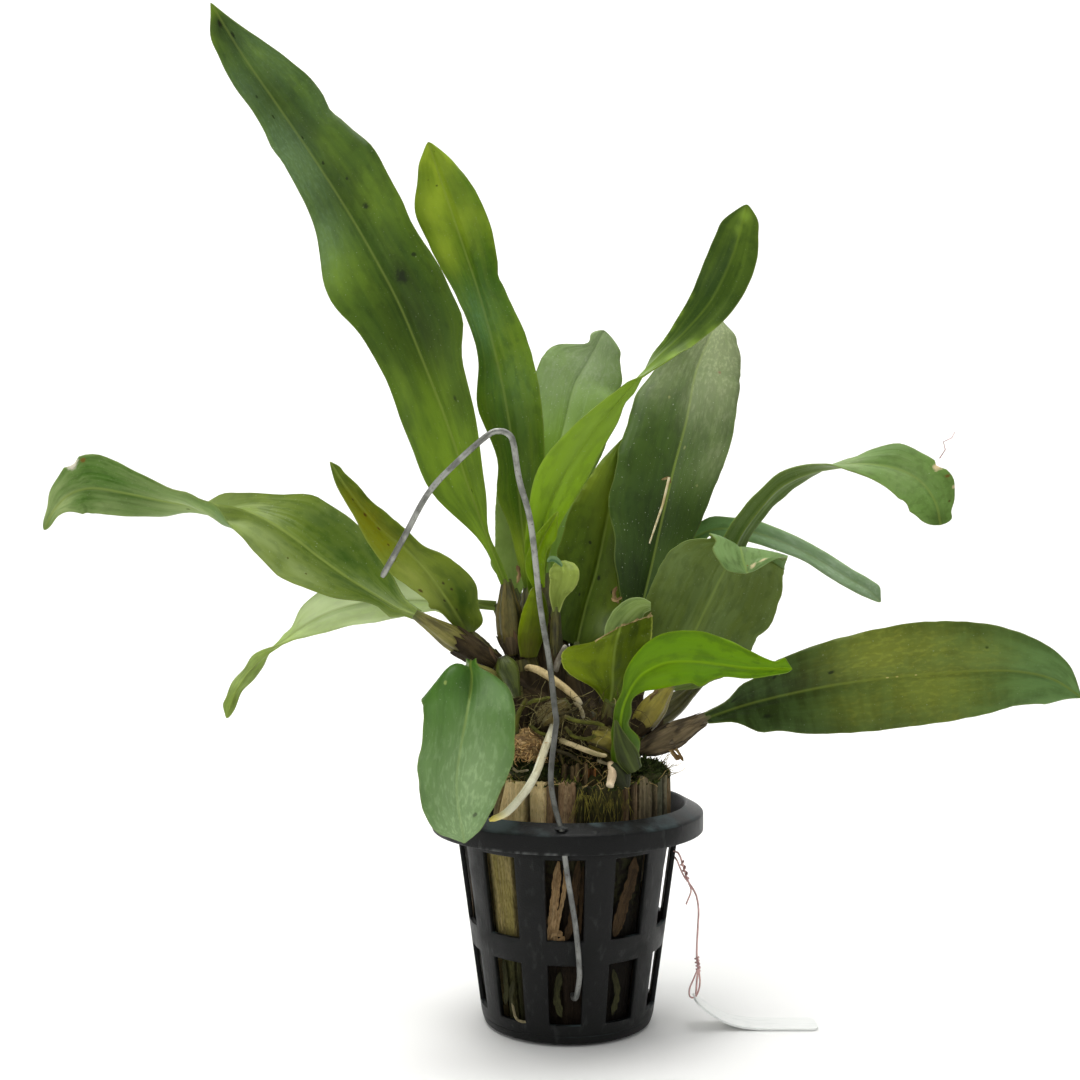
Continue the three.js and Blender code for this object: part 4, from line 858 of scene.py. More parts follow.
leafLooks = {
    "leaf_tall_left": dict(
        top="#435a28", under="#5f7533", light="#84a046", dark="#243311", bloom="#809a76", flecks=0.4,
        cloud=9,
        lightMarks=[
            (0.08, 0, 30, 0.9), (0.2, 0, 34, 0.8), (0.3, 0, 24, 0.6), (0.34, -0.8, 12, 0.6),
            (0.54, -0.6, 14, 0.7), (0.6, 0.7, 14, 0.4), (0.72, 0.5, 10, 0.25), (0.88, 0.5, 8, 0.4),
            (0.99, -0.8, 7, 1), (0.95, -1, 4, 0.9),
        ],
        darkMarks=[
            (0.42, 0.15, 26, 0.9), (0.49, 0.3, 9, 1), (0.4, -0.1, 10, 0.8), (0.66, -0.1, 16, 0.6),
            (0.76, 0.05, 12, 0.8), (0.83, -0.1, 14, 0.7), (0.93, 0, 7, 0.9), (0.96, -0.3, 7, 1),
            (0.3, 0.5, 8, 0.5), (0.2, 0.4, 6, 0.4),
        ],
        # these marks paint a grey painted sheen near both margins, where the leaf reflects the sky
        bloomMarks=[
            (0.73, -0.8, 24, 0.7), (0.6, -0.95, 18, 0.6), (0.86, -0.9, 16, 0.4), (0.88, 0.9, 22, 0.4),
            (0.78, 0.9, 14, 0.3),
        ],
        spots=[
            (0.49, 0.28, 4, "#1f2812"), (0.61, 0.35, 2, "#263016"), (0.66, 0.3, 1.1, "#263016"),
            (0.7, 0.1, 1.4, "#263016"), (0.51, 0.7, 1.4, "#263016"), (0.965, -0.2, 5, "#1d1e0e"),
            (0.94, 0.15, 4, "#1f2610"), (0.8, -0.4, 1.6, "#26300f"), (0.75, 0.05, 1.2, "#263016"),
            (0.84, -0.5, 1.5, "#263016"), (0.3, 0.5, 1.6, "#37451c"), (0.17, 0.1, 1.4, "#3c4a20"),
        ],
    ),
    "leaf_tall_middle": dict(
        top="#4c6a28", light="#a4b852", dark="#33481a", bloom="#6f9468",
        lightMarks=[
            (0.96, 0, 20, 1), (0.86, -0.5, 18, 1), (0.8, 0.3, 14, 0.6), (0.74, -0.7, 12, 0.7),
            (0.08, 0, 14, 0.8),
        ],
        darkMarks=[(0.3, 0, 18, 0.8), (0.2, 0.4, 12, 0.8), (0.45, -0.8, 12, 0.6), (0.62, 0.6, 14, 0.4)],
        bloomMarks=[(0.56, -0.4, 16, 0.6), (0.4, 0.3, 14, 0.3)],
        spots=[(0.88, -0.2, 1, "#4c5a20"), (0.97, 0.3, 1.1, "#4c5a20"), (0.9, -0.5, 0.8, "#5a662a")],
    ),
    "leaf_back_dusty": dict(
        top="#76914f", light="#81a045", dark="#5c7638", bloom="#a2b090", flecks=0.8, ribColour="#a3b97a",
        rib=0.4, bloomMarks=[(0.85, 0, 28, 1), (0.95, 0.3, 16, 1), (0.7, -0.5, 20, 0.7)],
        lightMarks=[(0.3, 0, 30, 0.7)],
    ),
    "leaf_bright_twisted": dict(
        top="#7f9f3a", under="#33481c", light="#8eaa52", dark="#2b3f1a", ribColour="#7c9040", rib=0.2,
        flecks=0.15, cloud=26,
        # the marks along both margins paint painted highlights on the twisted edges
        lightMarks=[
            (0.56, 1, 2.4, 1), (0.6, 1, 2.4, 1), (0.64, 1, 2.4, 1), (0.68, 1, 2.2, 1), (0.73, 1, 2, 0.9),
            (0.58, -1, 5, 1), (0.64, -1, 4, 0.9), (0.7, -1, 3, 0.7), (0.97, -0.1, 4, 0.9),
            (0.93, 0.1, 3, 0.5), (0.34, 0, 24, 0.9), (0.46, 0, 20, 0.8),
        ],
        darkMarks=[(0.03, 0, 12, 0.8)],
    ),
    "leaf_broad_dark": dict(
        top="#465b30", light="#5d7433", dark="#26331a", bloom="#b4be96", rib=0.5, flecks=0.8, cloud=10,
        lightMarks=[(0.17, 0.5, 12, 0.7), (0.4, 0.3, 14, 0.5)],
        darkMarks=[(0.1, -0.5, 20, 1), (0.28, -0.1, 24, 0.9)],
        # these marks paint a dusty bloom with painted highlights
        bloomMarks=[
            (0.97, 0.2, 28, 1), (0.9, 0.2, 20, 1), (0.84, 0.4, 26, 1), (0.7, 0.5, 22, 0.8),
            (0.64, 0.15, 14, 0.6), (0.7, -0.6, 16, 0.5), (0.5, 0.8, 14, 0.4),
        ],
        spots=[
            (0.5, 0.1, 1, "#8a8f62"), (0.62, -0.4, 0.8, "#8a8f62"), (0.4, 0.6, 0.9, "#7c8256"),
            (0.74, 0.5, 1.4, "#8d7a62"),
        ],
    ),
    "leaf_olive_back": dict(
        top="#566b2c", light="#7f9040", dark="#293512",
        lightMarks=[(0.78, -0.9, 10, 1), (0.7, 0, 16, 0.9), (0.3, 0.6, 12, 0.5)],
        darkMarks=[(0.02, -0.6, 24, 1), (0.2, -0.8, 14, 0.8), (0.45, 0.3, 16, 0.6), (0.12, 0.8, 10, 0.5)],
        spots=[
            (0.35, 0.1, 1.6, "#1f260f"), (0.25, -0.3, 1, "#20270f"), (0.3, 0.5, 1.2, "#232b10"),
            (0.5, -0.3, 1, "#232b10"),
        ],
    ),
    "leaf_far_left": dict(
        top="#557738", under="#788a42", light="#b4c48c", dark="#234500", cloud=9, rib=0.5,
        ribColour="#98a860", flecks=0.3,
        lightMarks=[
            (0.92, 0, 14, 0.8), (0.75, 0.6, 10, 0.4), (0.3, -0.8, 14, 0.4), (0.42, -0.7, 14, 0.5),
            (0.6, 0, 16, 0.9), (0.53, 0.6, 12, 0.7),
        ],
        darkMarks=[
            (0.34, 0.5, 12, 0.4), (0.28, 0.5, 20, 1), (0.23, 0.4, 18, 1), (0.18, 0.6, 18, 1),
            (0.12, 0.7, 12, 0.9), (0.68, 0.2, 16, 0.4),
        ],
        spots=[
            (0.82, -0.95, 3.4, "#e3dccb"), (0.8, -0.86, 1.6, "#7a5f36"), (0.285, -0.6, 0.7, "#4a4420"),
            (0.6, 0.2, 1, "#41491f"), (0.34, -0.5, 0.6, "#565a2c"),
        ],
    ),
    "leaf_left_low": dict(
        # its pale top colour and light marks are painted light: the glow of light through the leaf and a
        # painted highlight
        top="#a2bd60", light="#e4f2c4", dark="#536225", value=1,
        lightMarks=[
            (0.3, 0, 24, 1), (0.4, 0, 24, 1), (0.5, 0, 22, 0.9), (0.6, 0.2, 12, 0.5), (0.85, 0, 14, 0.3),
        ],
        darkMarks=[(0.05, 0, 14, 0.9), (0.74, 0, 9, 0.6), (0.84, 0.3, 10, 0.8), (0.95, 0, 10, 0.9)],
    ),
    "leaf_left_spotted": dict(
        top="#7d8e40", under="#79893c", light="#a0aa60", dark="#2c4414", cloud=8, rib=0.5, flecks=0.3,
        darkMarks=[
            (0.96, 0.3, 8, 1), (0.88, 0.6, 9, 1), (0.78, 0.7, 10, 1), (0.68, 0.8, 11, 1),
            (0.58, 0.8, 11, 0.9), (0.48, 0.8, 11, 0.6), (0.2, 0.5, 12, 1), (0.12, 0, 14, 0.8),
            (0.28, 0.6, 10, 0.8),
        ],
        lightMarks=[(0.3, -0.6, 12, 0.8), (0.4, -0.5, 10, 0.7), (0.2, -0.4, 10, 0.6)],
        bloomMarks=[(0.7, -0.3, 9, 1), (0.62, -0.4, 9, 0.9), (0.8, -0.3, 7, 0.8)], bloom="#7b7a22",
        spots=[
            (0.72, -0.15, 1.7, "#4d3417"), (0.8, -0.2, 1.2, "#3a2c16"), (0.64, -0.05, 1.4, "#5a3c1c"),
            (0.9, 0, 1, "#2a2c14"), (0.51, -0.55, 1.1, "#3a2f18"), (0.33, -0.8, 1.2, "#4a3a1c"),
            (0.23, -0.15, 0.9, "#3a3118"), (0.57, -0.3, 0.8, "#4a3518"), (0.3, 0.2, 0.9, "#3a3118"),
            (0.26, 0.3, 0.8, "#3a3118"), (0.16, 0.1, 0.7, "#3a3118"), (0.99, 0, 1.8, "#6b4f2c"),
        ],
    ),
    "leaf_hanging_front": dict(
        top="#40612a", light="#648646", dark="#2f4a20", bloom="#a9c194", rib=0.4, flecks=0.2,
        lightMarks=[(0.5, -0.7, 16, 0.4)], darkMarks=[(0.34, 0, 10, 0.6)],
        # these marks paint painted sheen
        bloomMarks=[
            (0.88, 0.1, 22, 1), (0.71, 0.35, 22, 1), (0.74, -0.3, 16, 0.7), (0.66, -0.7, 14, 0.5),
            (0.42, 0.7, 14, 0.3), (0.56, -0.2, 10, 0.4),
        ],
        spots=[(0.82, 0.5, 1.8, "#55614a"), (0.36, -0.5, 0.9, "#8a9a5c")],
    ),
    "leaf_right_arching": dict(
        top="#6f8e4f", under="#4c5f28", light="#8ea56c", dark="#3f5424", bloom="#a8b48a", flecks=0.35,
        # these marks paint painted sheen
        bloomMarks=[(0.6, 0, 14, 0.7), (0.8, -0.3, 16, 0.3)],
        darkMarks=[(0.98, 0, 8, 0.9), (0.9, 0.7, 8, 0.4), (0.75, 0.7, 9, 0.4)],
        spots=[
            (0.84, 0.95, 3, "#d8c6a0"), (0.87, 0.85, 1.4, "#6b5430"), (0.9, 0.96, 1.4, "#d8c6a0"),
            (0.93, 0.7, 1, "#4c4222"),
        ],
    ),
    "leaf_right_narrow": dict(
        top="#6c8a58", light="#8ba47c", dark="#4c6238", bloom="#a3b59c", flecks=0.3, value=1.08,
        # these marks paint a painted highlight on the curled end
        bloomMarks=[(0.6, 0, 16, 0.8), (0.75, 0, 18, 1), (0.9, 0, 16, 1)],
    ),
    "leaf_right_low": dict(
        top="#34451a", light="#6f8d58", dark="#1d2708", bloom="#949c50", bands=3, ribColour="#7d8c46",
        rib=0.5, flecks=0.3, cloud=8,
        lightMarks=[(0.97, 0, 34, 0.9), (0.86, 0, 30, 0.8), (0.76, 0.6, 20, 0.5)],
        darkMarks=[
            (0.04, 0, 20, 1), (0.12, 0.2, 30, 1), (0.2, 0, 24, 0.9), (0.24, -0.3, 24, 1),
            (0.38, 0.5, 18, 0.5), (0.3, 0.9, 14, 0.7),
        ],
        bloomMarks=[
            (0.56, 0.2, 24, 0.8), (0.66, -0.3, 16, 0.6), (0.45, -0.5, 20, 1), (0.55, -0.5, 18, 0.8),
            (0.4, 0.5, 16, 0.5), (0.6, 0.9, 12, 0.5),
        ],
        spots=[
            (0.09, -0.6, 1.8, "#161d08"), (0.16, 0.5, 2.2, "#161d08"), (0.33, -0.3, 1.4, "#1d240c"),
            (0.2, -0.6, 1.2, "#1d240c"), (0.46, 0, 0.8, "#d8c88a"), (0.485, 0, 0.8, "#cdbd7c"),
            (0.53, 0, 0.7, "#d8c88a"), (0.7, -0.5, 1, "#3c4a20"),
        ],
    ),
    "leaf_right_folded": dict(
        top="#7a9560", under="#66753e", light="#93a978", dark="#414f26", flecks=0.2, cloud=8,
        darkMarks=[(0.3, -0.3, 14, 0.5), (0.2, 0.5, 14, 0.5), (0.45, 0.6, 10, 0.4)],
        spots=[(0.95, 0.3, 4.6, "#ddd0a8"), (0.91, 0.5, 3, "#d3c59c"), (0.93, 0.08, 1.2, "#8a6a42")],
    ),
    "leaf_cut_front": dict(
        top="#6b7b2a", under="#68782a", light="#7f8f38", dark="#2b3711", value=1, cloud=8,
        lightMarks=[(0.5, -0.9, 7, 0.8), (0.75, -0.9, 6, 0.8)],
        darkMarks=[(0.2, 0, 10, 0.7), (0.9, 0.5, 16, 1), (0.7, 0.6, 16, 1), (0.5, 0.6, 16, 1)], edge=0.7,
        edgeColour="#a3aa5c",
    ),
    "leaf_bright_front": dict(
        top="#5f8a12", under="#64901a", light="#80a42c", dark="#34451a", ribColour="#8fb044", rib=0.6,
        flecks=0.1, cloud=20,
        darkMarks=[
            (0, 0, 18, 1), (0.06, 0, 18, 1), (0.13, 0, 16, 1), (0.2, 0, 16, 1), (0.26, 0, 10, 0.9),
        ],
        lightMarks=[(0.45, 0.5, 12, 0.5)],
    ),
    "leaf_back_pale": dict(
        top="#94aa66", light="#a6bb78", dark="#7b9150", bloom="#a6bb78", bloomMarks=[(0.7, 0, 20, 0.8)],
    ),
    "leaf_young": dict(top="#6f8b2c", light="#86a03c", dark="#506522"),
    "leaf_young_curled": dict(
        top="#8d9c56", under="#7a8840", light="#b0bc70", dark="#4c5826", edge=0.5, edgeColour="#b3bd78",
        value=1, darkMarks=[(0.1, 0, 6, 1)], spots=[(0.97, 0.2, 1.3, "#b08a72")],
    ),
    "shoot_keeled": dict(
        top="#6f8028", light="#93a83a", dark="#2f3b17", bloom="#4a4322", rib=0, flecks=0,
        # the light marks paint the lit left face as painted light and the dark marks the right face as
        # painted shade, split at a shadow's diagonal
        lightMarks=[(0.45, -1, 6, 1), (0.65, -1, 6, 1), (0.85, -1, 6, 1)],
        darkMarks=[
            (0.2, 1, 11, 1), (0.35, 1, 11, 1), (0.5, 1, 11, 1), (0.65, 1, 11, 1), (0.8, 1, 10, 1),
            (0.95, 1, 8, 1),
        ],
        bloomMarks=[(0.02, 0, 8, 1), (0.12, 0, 8, 1)],
    ),
}

for name, leaf in leaves.items():
    makeLeaf(name, dict(leaf, name=name))
print("leaves ready")


# A path runs from the rhizome to the tip, a sheath is (start, end, how far it stands off in mm).

bulbForm = dict(sides=40, rings=44, ridges=6, depth=0.085, scars=(0.3, 0.56, 0.8))
bulbs = {
    "bulb_tall": dict(
        path=[(-17, -2.5, 113), (-18, -2.5, 124), (-18.8, -2, 134.4)], radius=4, skin="#544f24",
        shade="#2b2a14", streak="#80703a", sheaths=[(0.02, 0.22, 0.35)], pale=True,
    ),
    "bulb_left": dict(
        path=[(-22, -9, 110.6), (-33, -11.5, 117.6), (-44.6, -13, 125.2)], radius=3.5, skin="#767236",
        shade="#4a4524", streak="#989050", sheaths=[(0.02, 0.5, 0.4)],
    ),
    "bulb_hanging": dict(
        path=[(-18.5, -8.5, 102), (-23.6, -12, 106.8), (-28.4, -15, 110.4)], radius=2.6, skin="#7d773d",
        shade="#506831", streak="#8f8c4c", sheaths=[(0.02, 0.3, 0.3)],
    ),
    "bulb_old": dict(
        path=[(-8.2, -13, 91), (-5.8, -13.5, 95), (-1.6, -13, 98.4)], radius=4, skin="#6f6130",
        shade="#3c341b", streak="#8a8460", sheaths=[(0.02, 0.25, 0.3)],
    ),
    "bulb_yellow": dict(
        path=[(5, -15.5, 91.5), (10, -17, 89), (15, -17.5, 86.8)], radius=3.8, skin="#857a2e",
        shade="#4d481d", streak="#a0963f", sheaths=[(0.02, 0.2, 0.3)],
    ),
    "bulb_right": dict(
        path=[(20.4, -9, 89.6), (25, -9, 96), (30.2, -8.4, 102.9)], radius=3.8, skin="#887c30",
        shade="#5c5424", streak="#a1963c", sheaths=[(0.02, 0.2, 0.3)],
    ),
    "bulb_dark": dict(
        path=[(21, 0, 87.6), (32, 4.6, 95.6), (41.6, 5, 103.9)], radius=3.6, skin="#47451b",
        shade="#26240e", streak="#63602b", sheaths=[(0.02, 0.3, 0.3)],
    ),
    "bulb_brown": dict(
        path=[(21.4, -11, 84.6), (31, -12, 89.2), (41, -12, 94.6)], radius=3.4, skin="#5c503a",
        shade="#2e271b", streak="#746748", sheaths=[(0.02, 0.5, 0.4), (0.45, 0.82, 0.25)], pale=True,
    ),
}


def bulbSkin(name, look):
    # living pseudobulb: a firm ribbed skin, streaked lengthwise, dull with age
    material, tree, place, masks = startMaterial(name, ["dry"])
    seed = seedOf(name, 89)
    streaks = patches(tree, place, 1.6, 0.42, 0.64, stretch=(1, 0.1, 1), shift=seed)
    blots = patches(tree, place, 5, 0.44, 0.62, stretch=(1, 0.6, 1), shift=seed + 3)
    grain = patches(tree, place, 0.5, 0.5, 0.7, stretch=(1, 0.3, 1), detail=4, shift=seed)
    tint = layColours(tree, look["skin"], [
        (blots, 0.75, look["shade"]), (streaks, 0.55, look["streak"]), (grain, 0.3, look["shade"]),
        (masks["dry"], 0.8, look.get("tip", "#56622a")),
    ])
    return finishMaterial(material, tint, 0.48, 0.3, 0, [(streaks, 0.8), (grain, 0.25)], 0.25)


def dryPaper(name, light, dark):
    # dead sheath that has dried to fibrous paper round the bulbs, torn at its edge
    material, tree, place, _ = startMaterial(name)
    fibres = patches(tree, place, 0.8, 0.4, 0.65, stretch=(1, 0.06, 1))
    blots = patches(tree, place, 4, 0.4, 0.62, stretch=(1, 0.5, 1), shift=7)
    tint = layColours(tree, light, [(blots, 0.8, dark), (fibres, 0.5, dark)])
    return finishMaterial(material, tint, 0.8, 0.2, 0, [(fibres, 1.0)], 0.3)


def bulbRadius(radius, t, angle, seed):
    along = [0.45 * radius, 0.88 * radius, radius, 0.92 * radius, 0.62 * radius, 1.5]
    ridged = fade(0, 0.2, t) * (1 - fade(0.85, 1, t))
    ribs = 1 + bulbForm["depth"] * math.cos(bulbForm["ridges"] * angle) * ridged
    dent = 0.03 * rough(math.cos(angle) * radius, math.sin(angle) * radius, t * 20 + seed, 3)
    return between(along, t) * (ribs + dent + 0.035 * scarsAt(bulbForm["scars"], t))


def scarsAt(rings, t):
    # the raised rings that fallen sheaths leave on a stem
    return sum(math.exp(-((t - ring) / 0.012) ** 2) for ring in rings)


def addSheath(bm, path, radiusAt, start, end, stand, seed, sides=36, rings=16):
    # a thin torn shell round a stretch of a stem
    steps = 60
    places, length = followPath(path, steps)
    frames = turnAlong(places)
    ragged = 0.16 * (end - start) + 0.5 / length

    def place(u, s):
        angle = 2 * math.pi * (u % 1)
        x, y = math.cos(angle), math.sin(angle)
        tear = 0.5 + rough(x * 3, y * 3, seed, 1.1)
        finger = 0.6 * rough(x * 9, y * 9, seed, 1.3)
        t = start + (end - start + ragged * (tear + finger) * 2 - ragged) * s
        t = min(max(t, 0), 0.97)
        i = t * steps
        j = min(int(i), steps - 1)
        centre = places[j].lerp(places[j + 1], i - j)
        _, side, up = frames[min(round(i), steps)]
        flare = stand * (1 + 0.7 * fade(0.7, 1, s) * (0.5 + rough(angle * 2, seed, 3)))
        radius = radiusAt(t, angle) + flare + 0.12 * rough(x * 12, y * 12, s * 2)
        return centre + (side * x + up * y) * radius, {}

    made = addGrid(bm, sides, rings, place, (14, length * (end - start)), weld=True)
    bmesh.ops.solidify(bm, geom=facesOf(made), thickness=0.18)


paperLight = dryPaper("dryBrownSheath", "#6e6046", "#2d2619")
paperDark = dryPaper("dryDarkSheath", "#463a24", "#241c10")


def runOn(path, extra):
    # the stem's tip reaches a little way into the foot of its leaf
    last, before = Vector(path[-1]), Vector(path[-2])
    return [*path[:-1], tuple(last + (last - before).normalized() * extra)]


def makeBulb(name, look):
    seed = seedOf(name, 31)
    path = runOn(look["path"], 2.2)
    radiusAt = lambda t, angle: bulbRadius(look["radius"], t, angle, seed)
    bm = newPiece("dry")
    dryAt = lambda t, angle: dict(dry=fade(0.9, 1, t))
    addTube(bm, path, radiusAt, bulbForm["sides"], bulbForm["rings"], dryAt)
    title = titleOf(name)
    finishPiece(bm, title, bulbSkin(title + "Skin", look), [name])
    bm = newPiece()
    for i, (start, end, stand) in enumerate(look["sheaths"]):
        addSheath(bm, path, radiusAt, start, end, stand, seed + i)
    finishPiece(bm, title + "Sheath", paperLight if look.get("pale") else paperDark)


for name, look in bulbs.items():
    makeBulb(name, look)


# a stem is its path, its radii and its sheaths
stemScars = (0.18, 0.34, 0.5, 0.68, 0.84)
rhizomeStems = [
    (
        [(-20, -7, 106), (-12, -6, 101), (-4, -8, 93), (6, -9, 88), (16, -8, 86), (24, -6, 86)],
        [3, 4.6, 5.4, 5, 4.4, 3], [(0.05, 0.3, 0.4), (0.4, 0.62, 0.4), (0.7, 0.9, 0.4)],
    ),
    ([(-13, -4, 112), (-11, -5, 103), (-6, -5, 92), (-3, -4, 76)], [3.6, 5, 5, 4], [(0.1, 0.5, 0.4)]),
    ([(18, -6, 88), (14, -7, 82), (10, -8, 76)], [3.6, 4.4, 4], []),
    ([(-6, -4, 96), (-10, 4, 112), (-12, 10, 132.8)], [4, 3.4, 4.2, 3.8, 1.6], [(0.3, 0.8, 0.4)]),
    ([(-3, -3, 94), (-4, 9, 112), (-5.6, 16.6, 135.8)], [4, 3.4, 4.2, 3.8, 1.6], [(0.3, 0.75, 0.4)]),
    ([(-8, -4, 98), (-14, 12, 112), (-16.2, 18.4, 130.8)], [4, 3, 3.8, 3.4, 1.6], [(0.3, 0.8, 0.4)]),
    (
        [(-10, -4, 104), (-16, 4, 114), (-19, 6, 123), (-21.4, 6, 126.8)], [4, 3.2, 3.4, 3.2, 1.4],
        [(0.3, 0.7, 0.4)],
    ),
    ([(-14, -6, 104), (-22, -3, 110), (-30.6, -2.8, 119.6)], [3.6, 2.8, 3, 2.8, 1.4], [(0.2, 0.6, 0.4)]),
    ([(6, -8, 88), (6, 4, 98), (3, 9.8, 114)], [4, 3.4, 4.4, 4, 1.8], [(0.3, 0.7, 0.4)]),
    ([(14, -7, 87), (20, 4, 104), (23, 7.8, 124.8)], [4, 3.6, 4.6, 4, 1.8], [(0.25, 0.75, 0.4)]),
    ([(16, -5, 87), (21, 16, 108), (24, 21.8, 128.8)], [4, 3.4, 4.2, 3.6, 1.5], [(0.3, 0.8, 0.4)]),
    ([(-2, -8, 92), (-5, -2, 110), (-9.4, -0.2, 129.4)], [4, 3.6, 4, 3, 2], [(0.35, 0.85, 0.4)]),
    ([(-3, -8, 94), (-3.6, -7, 110), (-3.7, -7.8, 126.4)], [3.4, 2.4, 2, 1.2], [(0.2, 0.6, 0.3)]),
    ([(-8, -4, 118), (-8.4, -4, 126), (-8.8, -5, 133.4)], [2, 2, 1.8], []),
    ([(8, -9, 88), (11, -13, 93), (12.3, -16.2, 99)], [3.6, 2.6, 1.8], [(0.3, 0.8, 0.3)]),
    ([(10, -8, 86), (14, -15, 84), (16, -20.8, 82.8)], [4, 3.2, 2.4], []),
    ([(5, -6, 88), (1, -4, 100), (-1.6, -3, 113)], [4, 4.2, 3], [(0.2, 0.8, 0.4)]),
    ([(-15, -8, 104), (-14.4, -9, 96), (-11, -9, 86)], [2.4, 3.4, 3], [(0.2, 0.7, 0.4)]),
    ([(12, -4, 88), (15, 1, 100), (17.6, 4, 112)], [4, 3.6, 2.2], [(0.2, 0.9, 0.4)]),
    ([(19, -7, 86), (20, 0, 98), (22, 4, 112)], [3.4, 3.2, 2], [(0.2, 0.9, 0.4)]),
]


def makeRhizome():
    bm = newPiece("dry")
    shells = newPiece()
    for i, (path, radii, sheaths) in enumerate(rhizomeStems):
        def radiusAt(t, angle):
            ribs = 1 + 0.05 * math.cos(6 * angle + i) + 0.05 * rough(angle, t * 9, i * 7, 0.8)
            return max(between(radii, t), 0.3) * (ribs + 0.05 * scarsAt(stemScars, t))
        longer = runOn(path, 2 if i > 2 else 0)  # the first three stems carry no leaf
        addTube(bm, longer, radiusAt, sides=30, rings=40, values=lambda t, angle: dict(dry=fade(0.9, 1, t)))
        for j, (start, end, stand) in enumerate(sheaths):
            addSheath(shells, path, radiusAt, start, end, stand, i * 5 + j)
    look = dict(skin="#504d24", shade="#26241a", streak="#77733a")
    finishPiece(bm, "Rhizome", bulbSkin("rhizomeSkin", look), ["rhizome"])
    finishPiece(shells, "RhizomeSheaths", paperDark)


makeRhizome()

roots = {
    "root_long": dict(
        path=[
            (-4.6, -18.4, 93.4), (-7.4, -23, 86.4), (-9.6, -28.4, 81), (-13, -32.6, 76), (-18, -36.4, 71),
            (-23, -37.6, 68.9),
        ],
        radii=[1, 1.15, 1.2, 1.2, 1.2, 1.1, 0.8], skin="#f2efd2", dirt="#c9c09a", tip="#e8d02a",
    ),
    "root_upper": dict(
        path=[
            (-12.6, -7.4, 109.4), (-11.6, -12, 110), (-8.3, -15, 109.2), (-2, -16.4, 105),
            (2.6, -17, 101), (4, -16.6, 98.4),
        ],
        radii=[0.9, 1.1, 1.2, 1.1, 0.7], skin="#cdb988", dirt="#7d6a40", tip="#d9d4bc",
    ),
    "root_middle": dict(
        path=[(-2.6, -19.6, 89.2), (4, -22, 87), (8, -22.8, 85.6), (11.2, -22.8, 85)],
        radii=[0.8, 0.8, 0.75, 0.6], skin="#cebc90", dirt="#7f7952", tip="#dccb9a",
    ),
    "root_stub": dict(
        path=[(12.2, -24, 83), (12.6, -27, 80.6), (11.6, -29.8, 77)], radii=[1, 1.3, 1.1], skin="#e0caa7",
        dirt="#b8a383", tip="#e8d8b8",
    ),
    "root_dry": dict(
        path=[(-3.7, -8, 108.4), (-3.2, -12, 111.6), (-0.8, -13.4, 117)], radii=[0.8, 1, 0.7],
        skin="#a39d90", dirt="#5c5444", tip="#b5b0a2",
    ),
}


def velamen(name, look):
    # spongy skin of an aerial root: matt, cream, grubby in patches, darker at the base
    material, tree, place, masks = startMaterial(name, ["tip", "base"])
    seed = seedOf(name, 61)
    dirt = patches(tree, place, 3, 0.44, 0.62, stretch=(1, 0.5, 1), shift=seed)
    grain = patches(tree, place, 0.5, 0.45, 0.65, detail=4, shift=seed)
    tint = layColours(tree, look["skin"], [
        (dirt, 0.75, look["dirt"]), (grain, 0.25, look["dirt"]), (masks["tip"], 0.8, look["tip"]),
        (masks["base"], 0.7, "#5d5230"),
    ])
    return finishMaterial(material, tint, 0.72, 0.2, 0, [(grain, 0.5), (dirt, 0.5)], 0.15)


def makeRoot(name, look):
    seed = seedOf(name, 23)
    bm = newPiece("tip", "base")

    def radiusAt(t, angle):
        knob = 1 + 0.07 * rough(t * 9, angle, seed, 1) + 0.04 * rough(t * 40, seed, 0, 1)
        return between(look["radii"], t) * knob * (1 - 0.5 * fade(0.96, 1, t))

    paintAt = lambda t, angle: dict(tip=fade(0.82, 1, t), base=1 - fade(0, 0.12, t))
    addTube(bm, look["path"], radiusAt, sides=18, rings=60, values=paintAt)
    title = titleOf(name)
    finishPiece(bm, title, velamen(title + "Skin", look), [name])


for name, look in roots.items():
    makeRoot(name, look)

cutShoot = dict(
    path=[(-15.6, -13, 101.6), (-17.2, -14, 107), (-20, -14, 113.6)], radii=[1.4, 2, 3, 3.3, 1.4],
    skin="#4d581d", shade="#2a3212", streak="#5f6b2c", tip="#2b2817",
)


def makeCutShoot():
    bm = newPiece("dry")

    def radiusAt(t, angle):
        uneven = 1 + 0.05 * math.cos(5 * angle) + 0.03 * rough(angle, t * 6, 1)
        return between(cutShoot["radii"], t) * uneven

    dryAt = lambda t, angle: dict(dry=fade(0.93, 1, t))
    addTube(bm, cutShoot["path"], radiusAt, sides=30, rings=34, values=dryAt)
    finishPiece(bm, "ShootCut", bulbSkin("cutShootSkin", cutShoot), ["shoot_cut"])


makeCutShoot()
print("bulbs, rhizome and roots ready")

# in millimetres; slots and turns are in degrees, a slot is 20 wide and one starts every 36
basket = dict(
    slots=10, pitch=36, first=-92.5, half=10, tiers=[(6.7, 24.8), (32.3, 56.5)], foot=26.6, taper=0.1385,
    corner=3, wall=1.6, floor=2, plastic="#050606", slotStops=(-10, -5, 0, 5, 10, 14, 18, 22),
    levels=(3.2, 4.9, 6.7, 12, 18, 24.8, 27.3, 29.8, 32.3, 38, 44, 50, 56.5, 58.9),
    rim=[
        (34.36, 58.8), (35.36, 63.5), (40.4, 63.3), (40.8, 59.7), (42, 59.7), (42, 60.5), (42, 61.1),
        (42, 65), (41.4, 65.6), (36.9, 68), (36.3, 67.6), (33.1, 60), (32.8, 58.8),
    ],
    footRing=[(19, 0.05), (23.6, 0.05), (25.9, 0.9), (26.62, 3.3), (25.02, 3.5), (24, 2.1), (19, 2)],
)
floorGrid = dict(
    spokes=5, pitch=72, half=12, wide=2.5, inner=9, outer=21, stops=(-12, -6, 0, 6, 12, 24, 36, 48),
    radii=(0.5, 4, 9, 15, 21, 22.5),
)
husk = dict(centre=4.2, low=47, straight=60, radius=28.3, lean=0.165, thickness=5.5, moss="#3d4021")
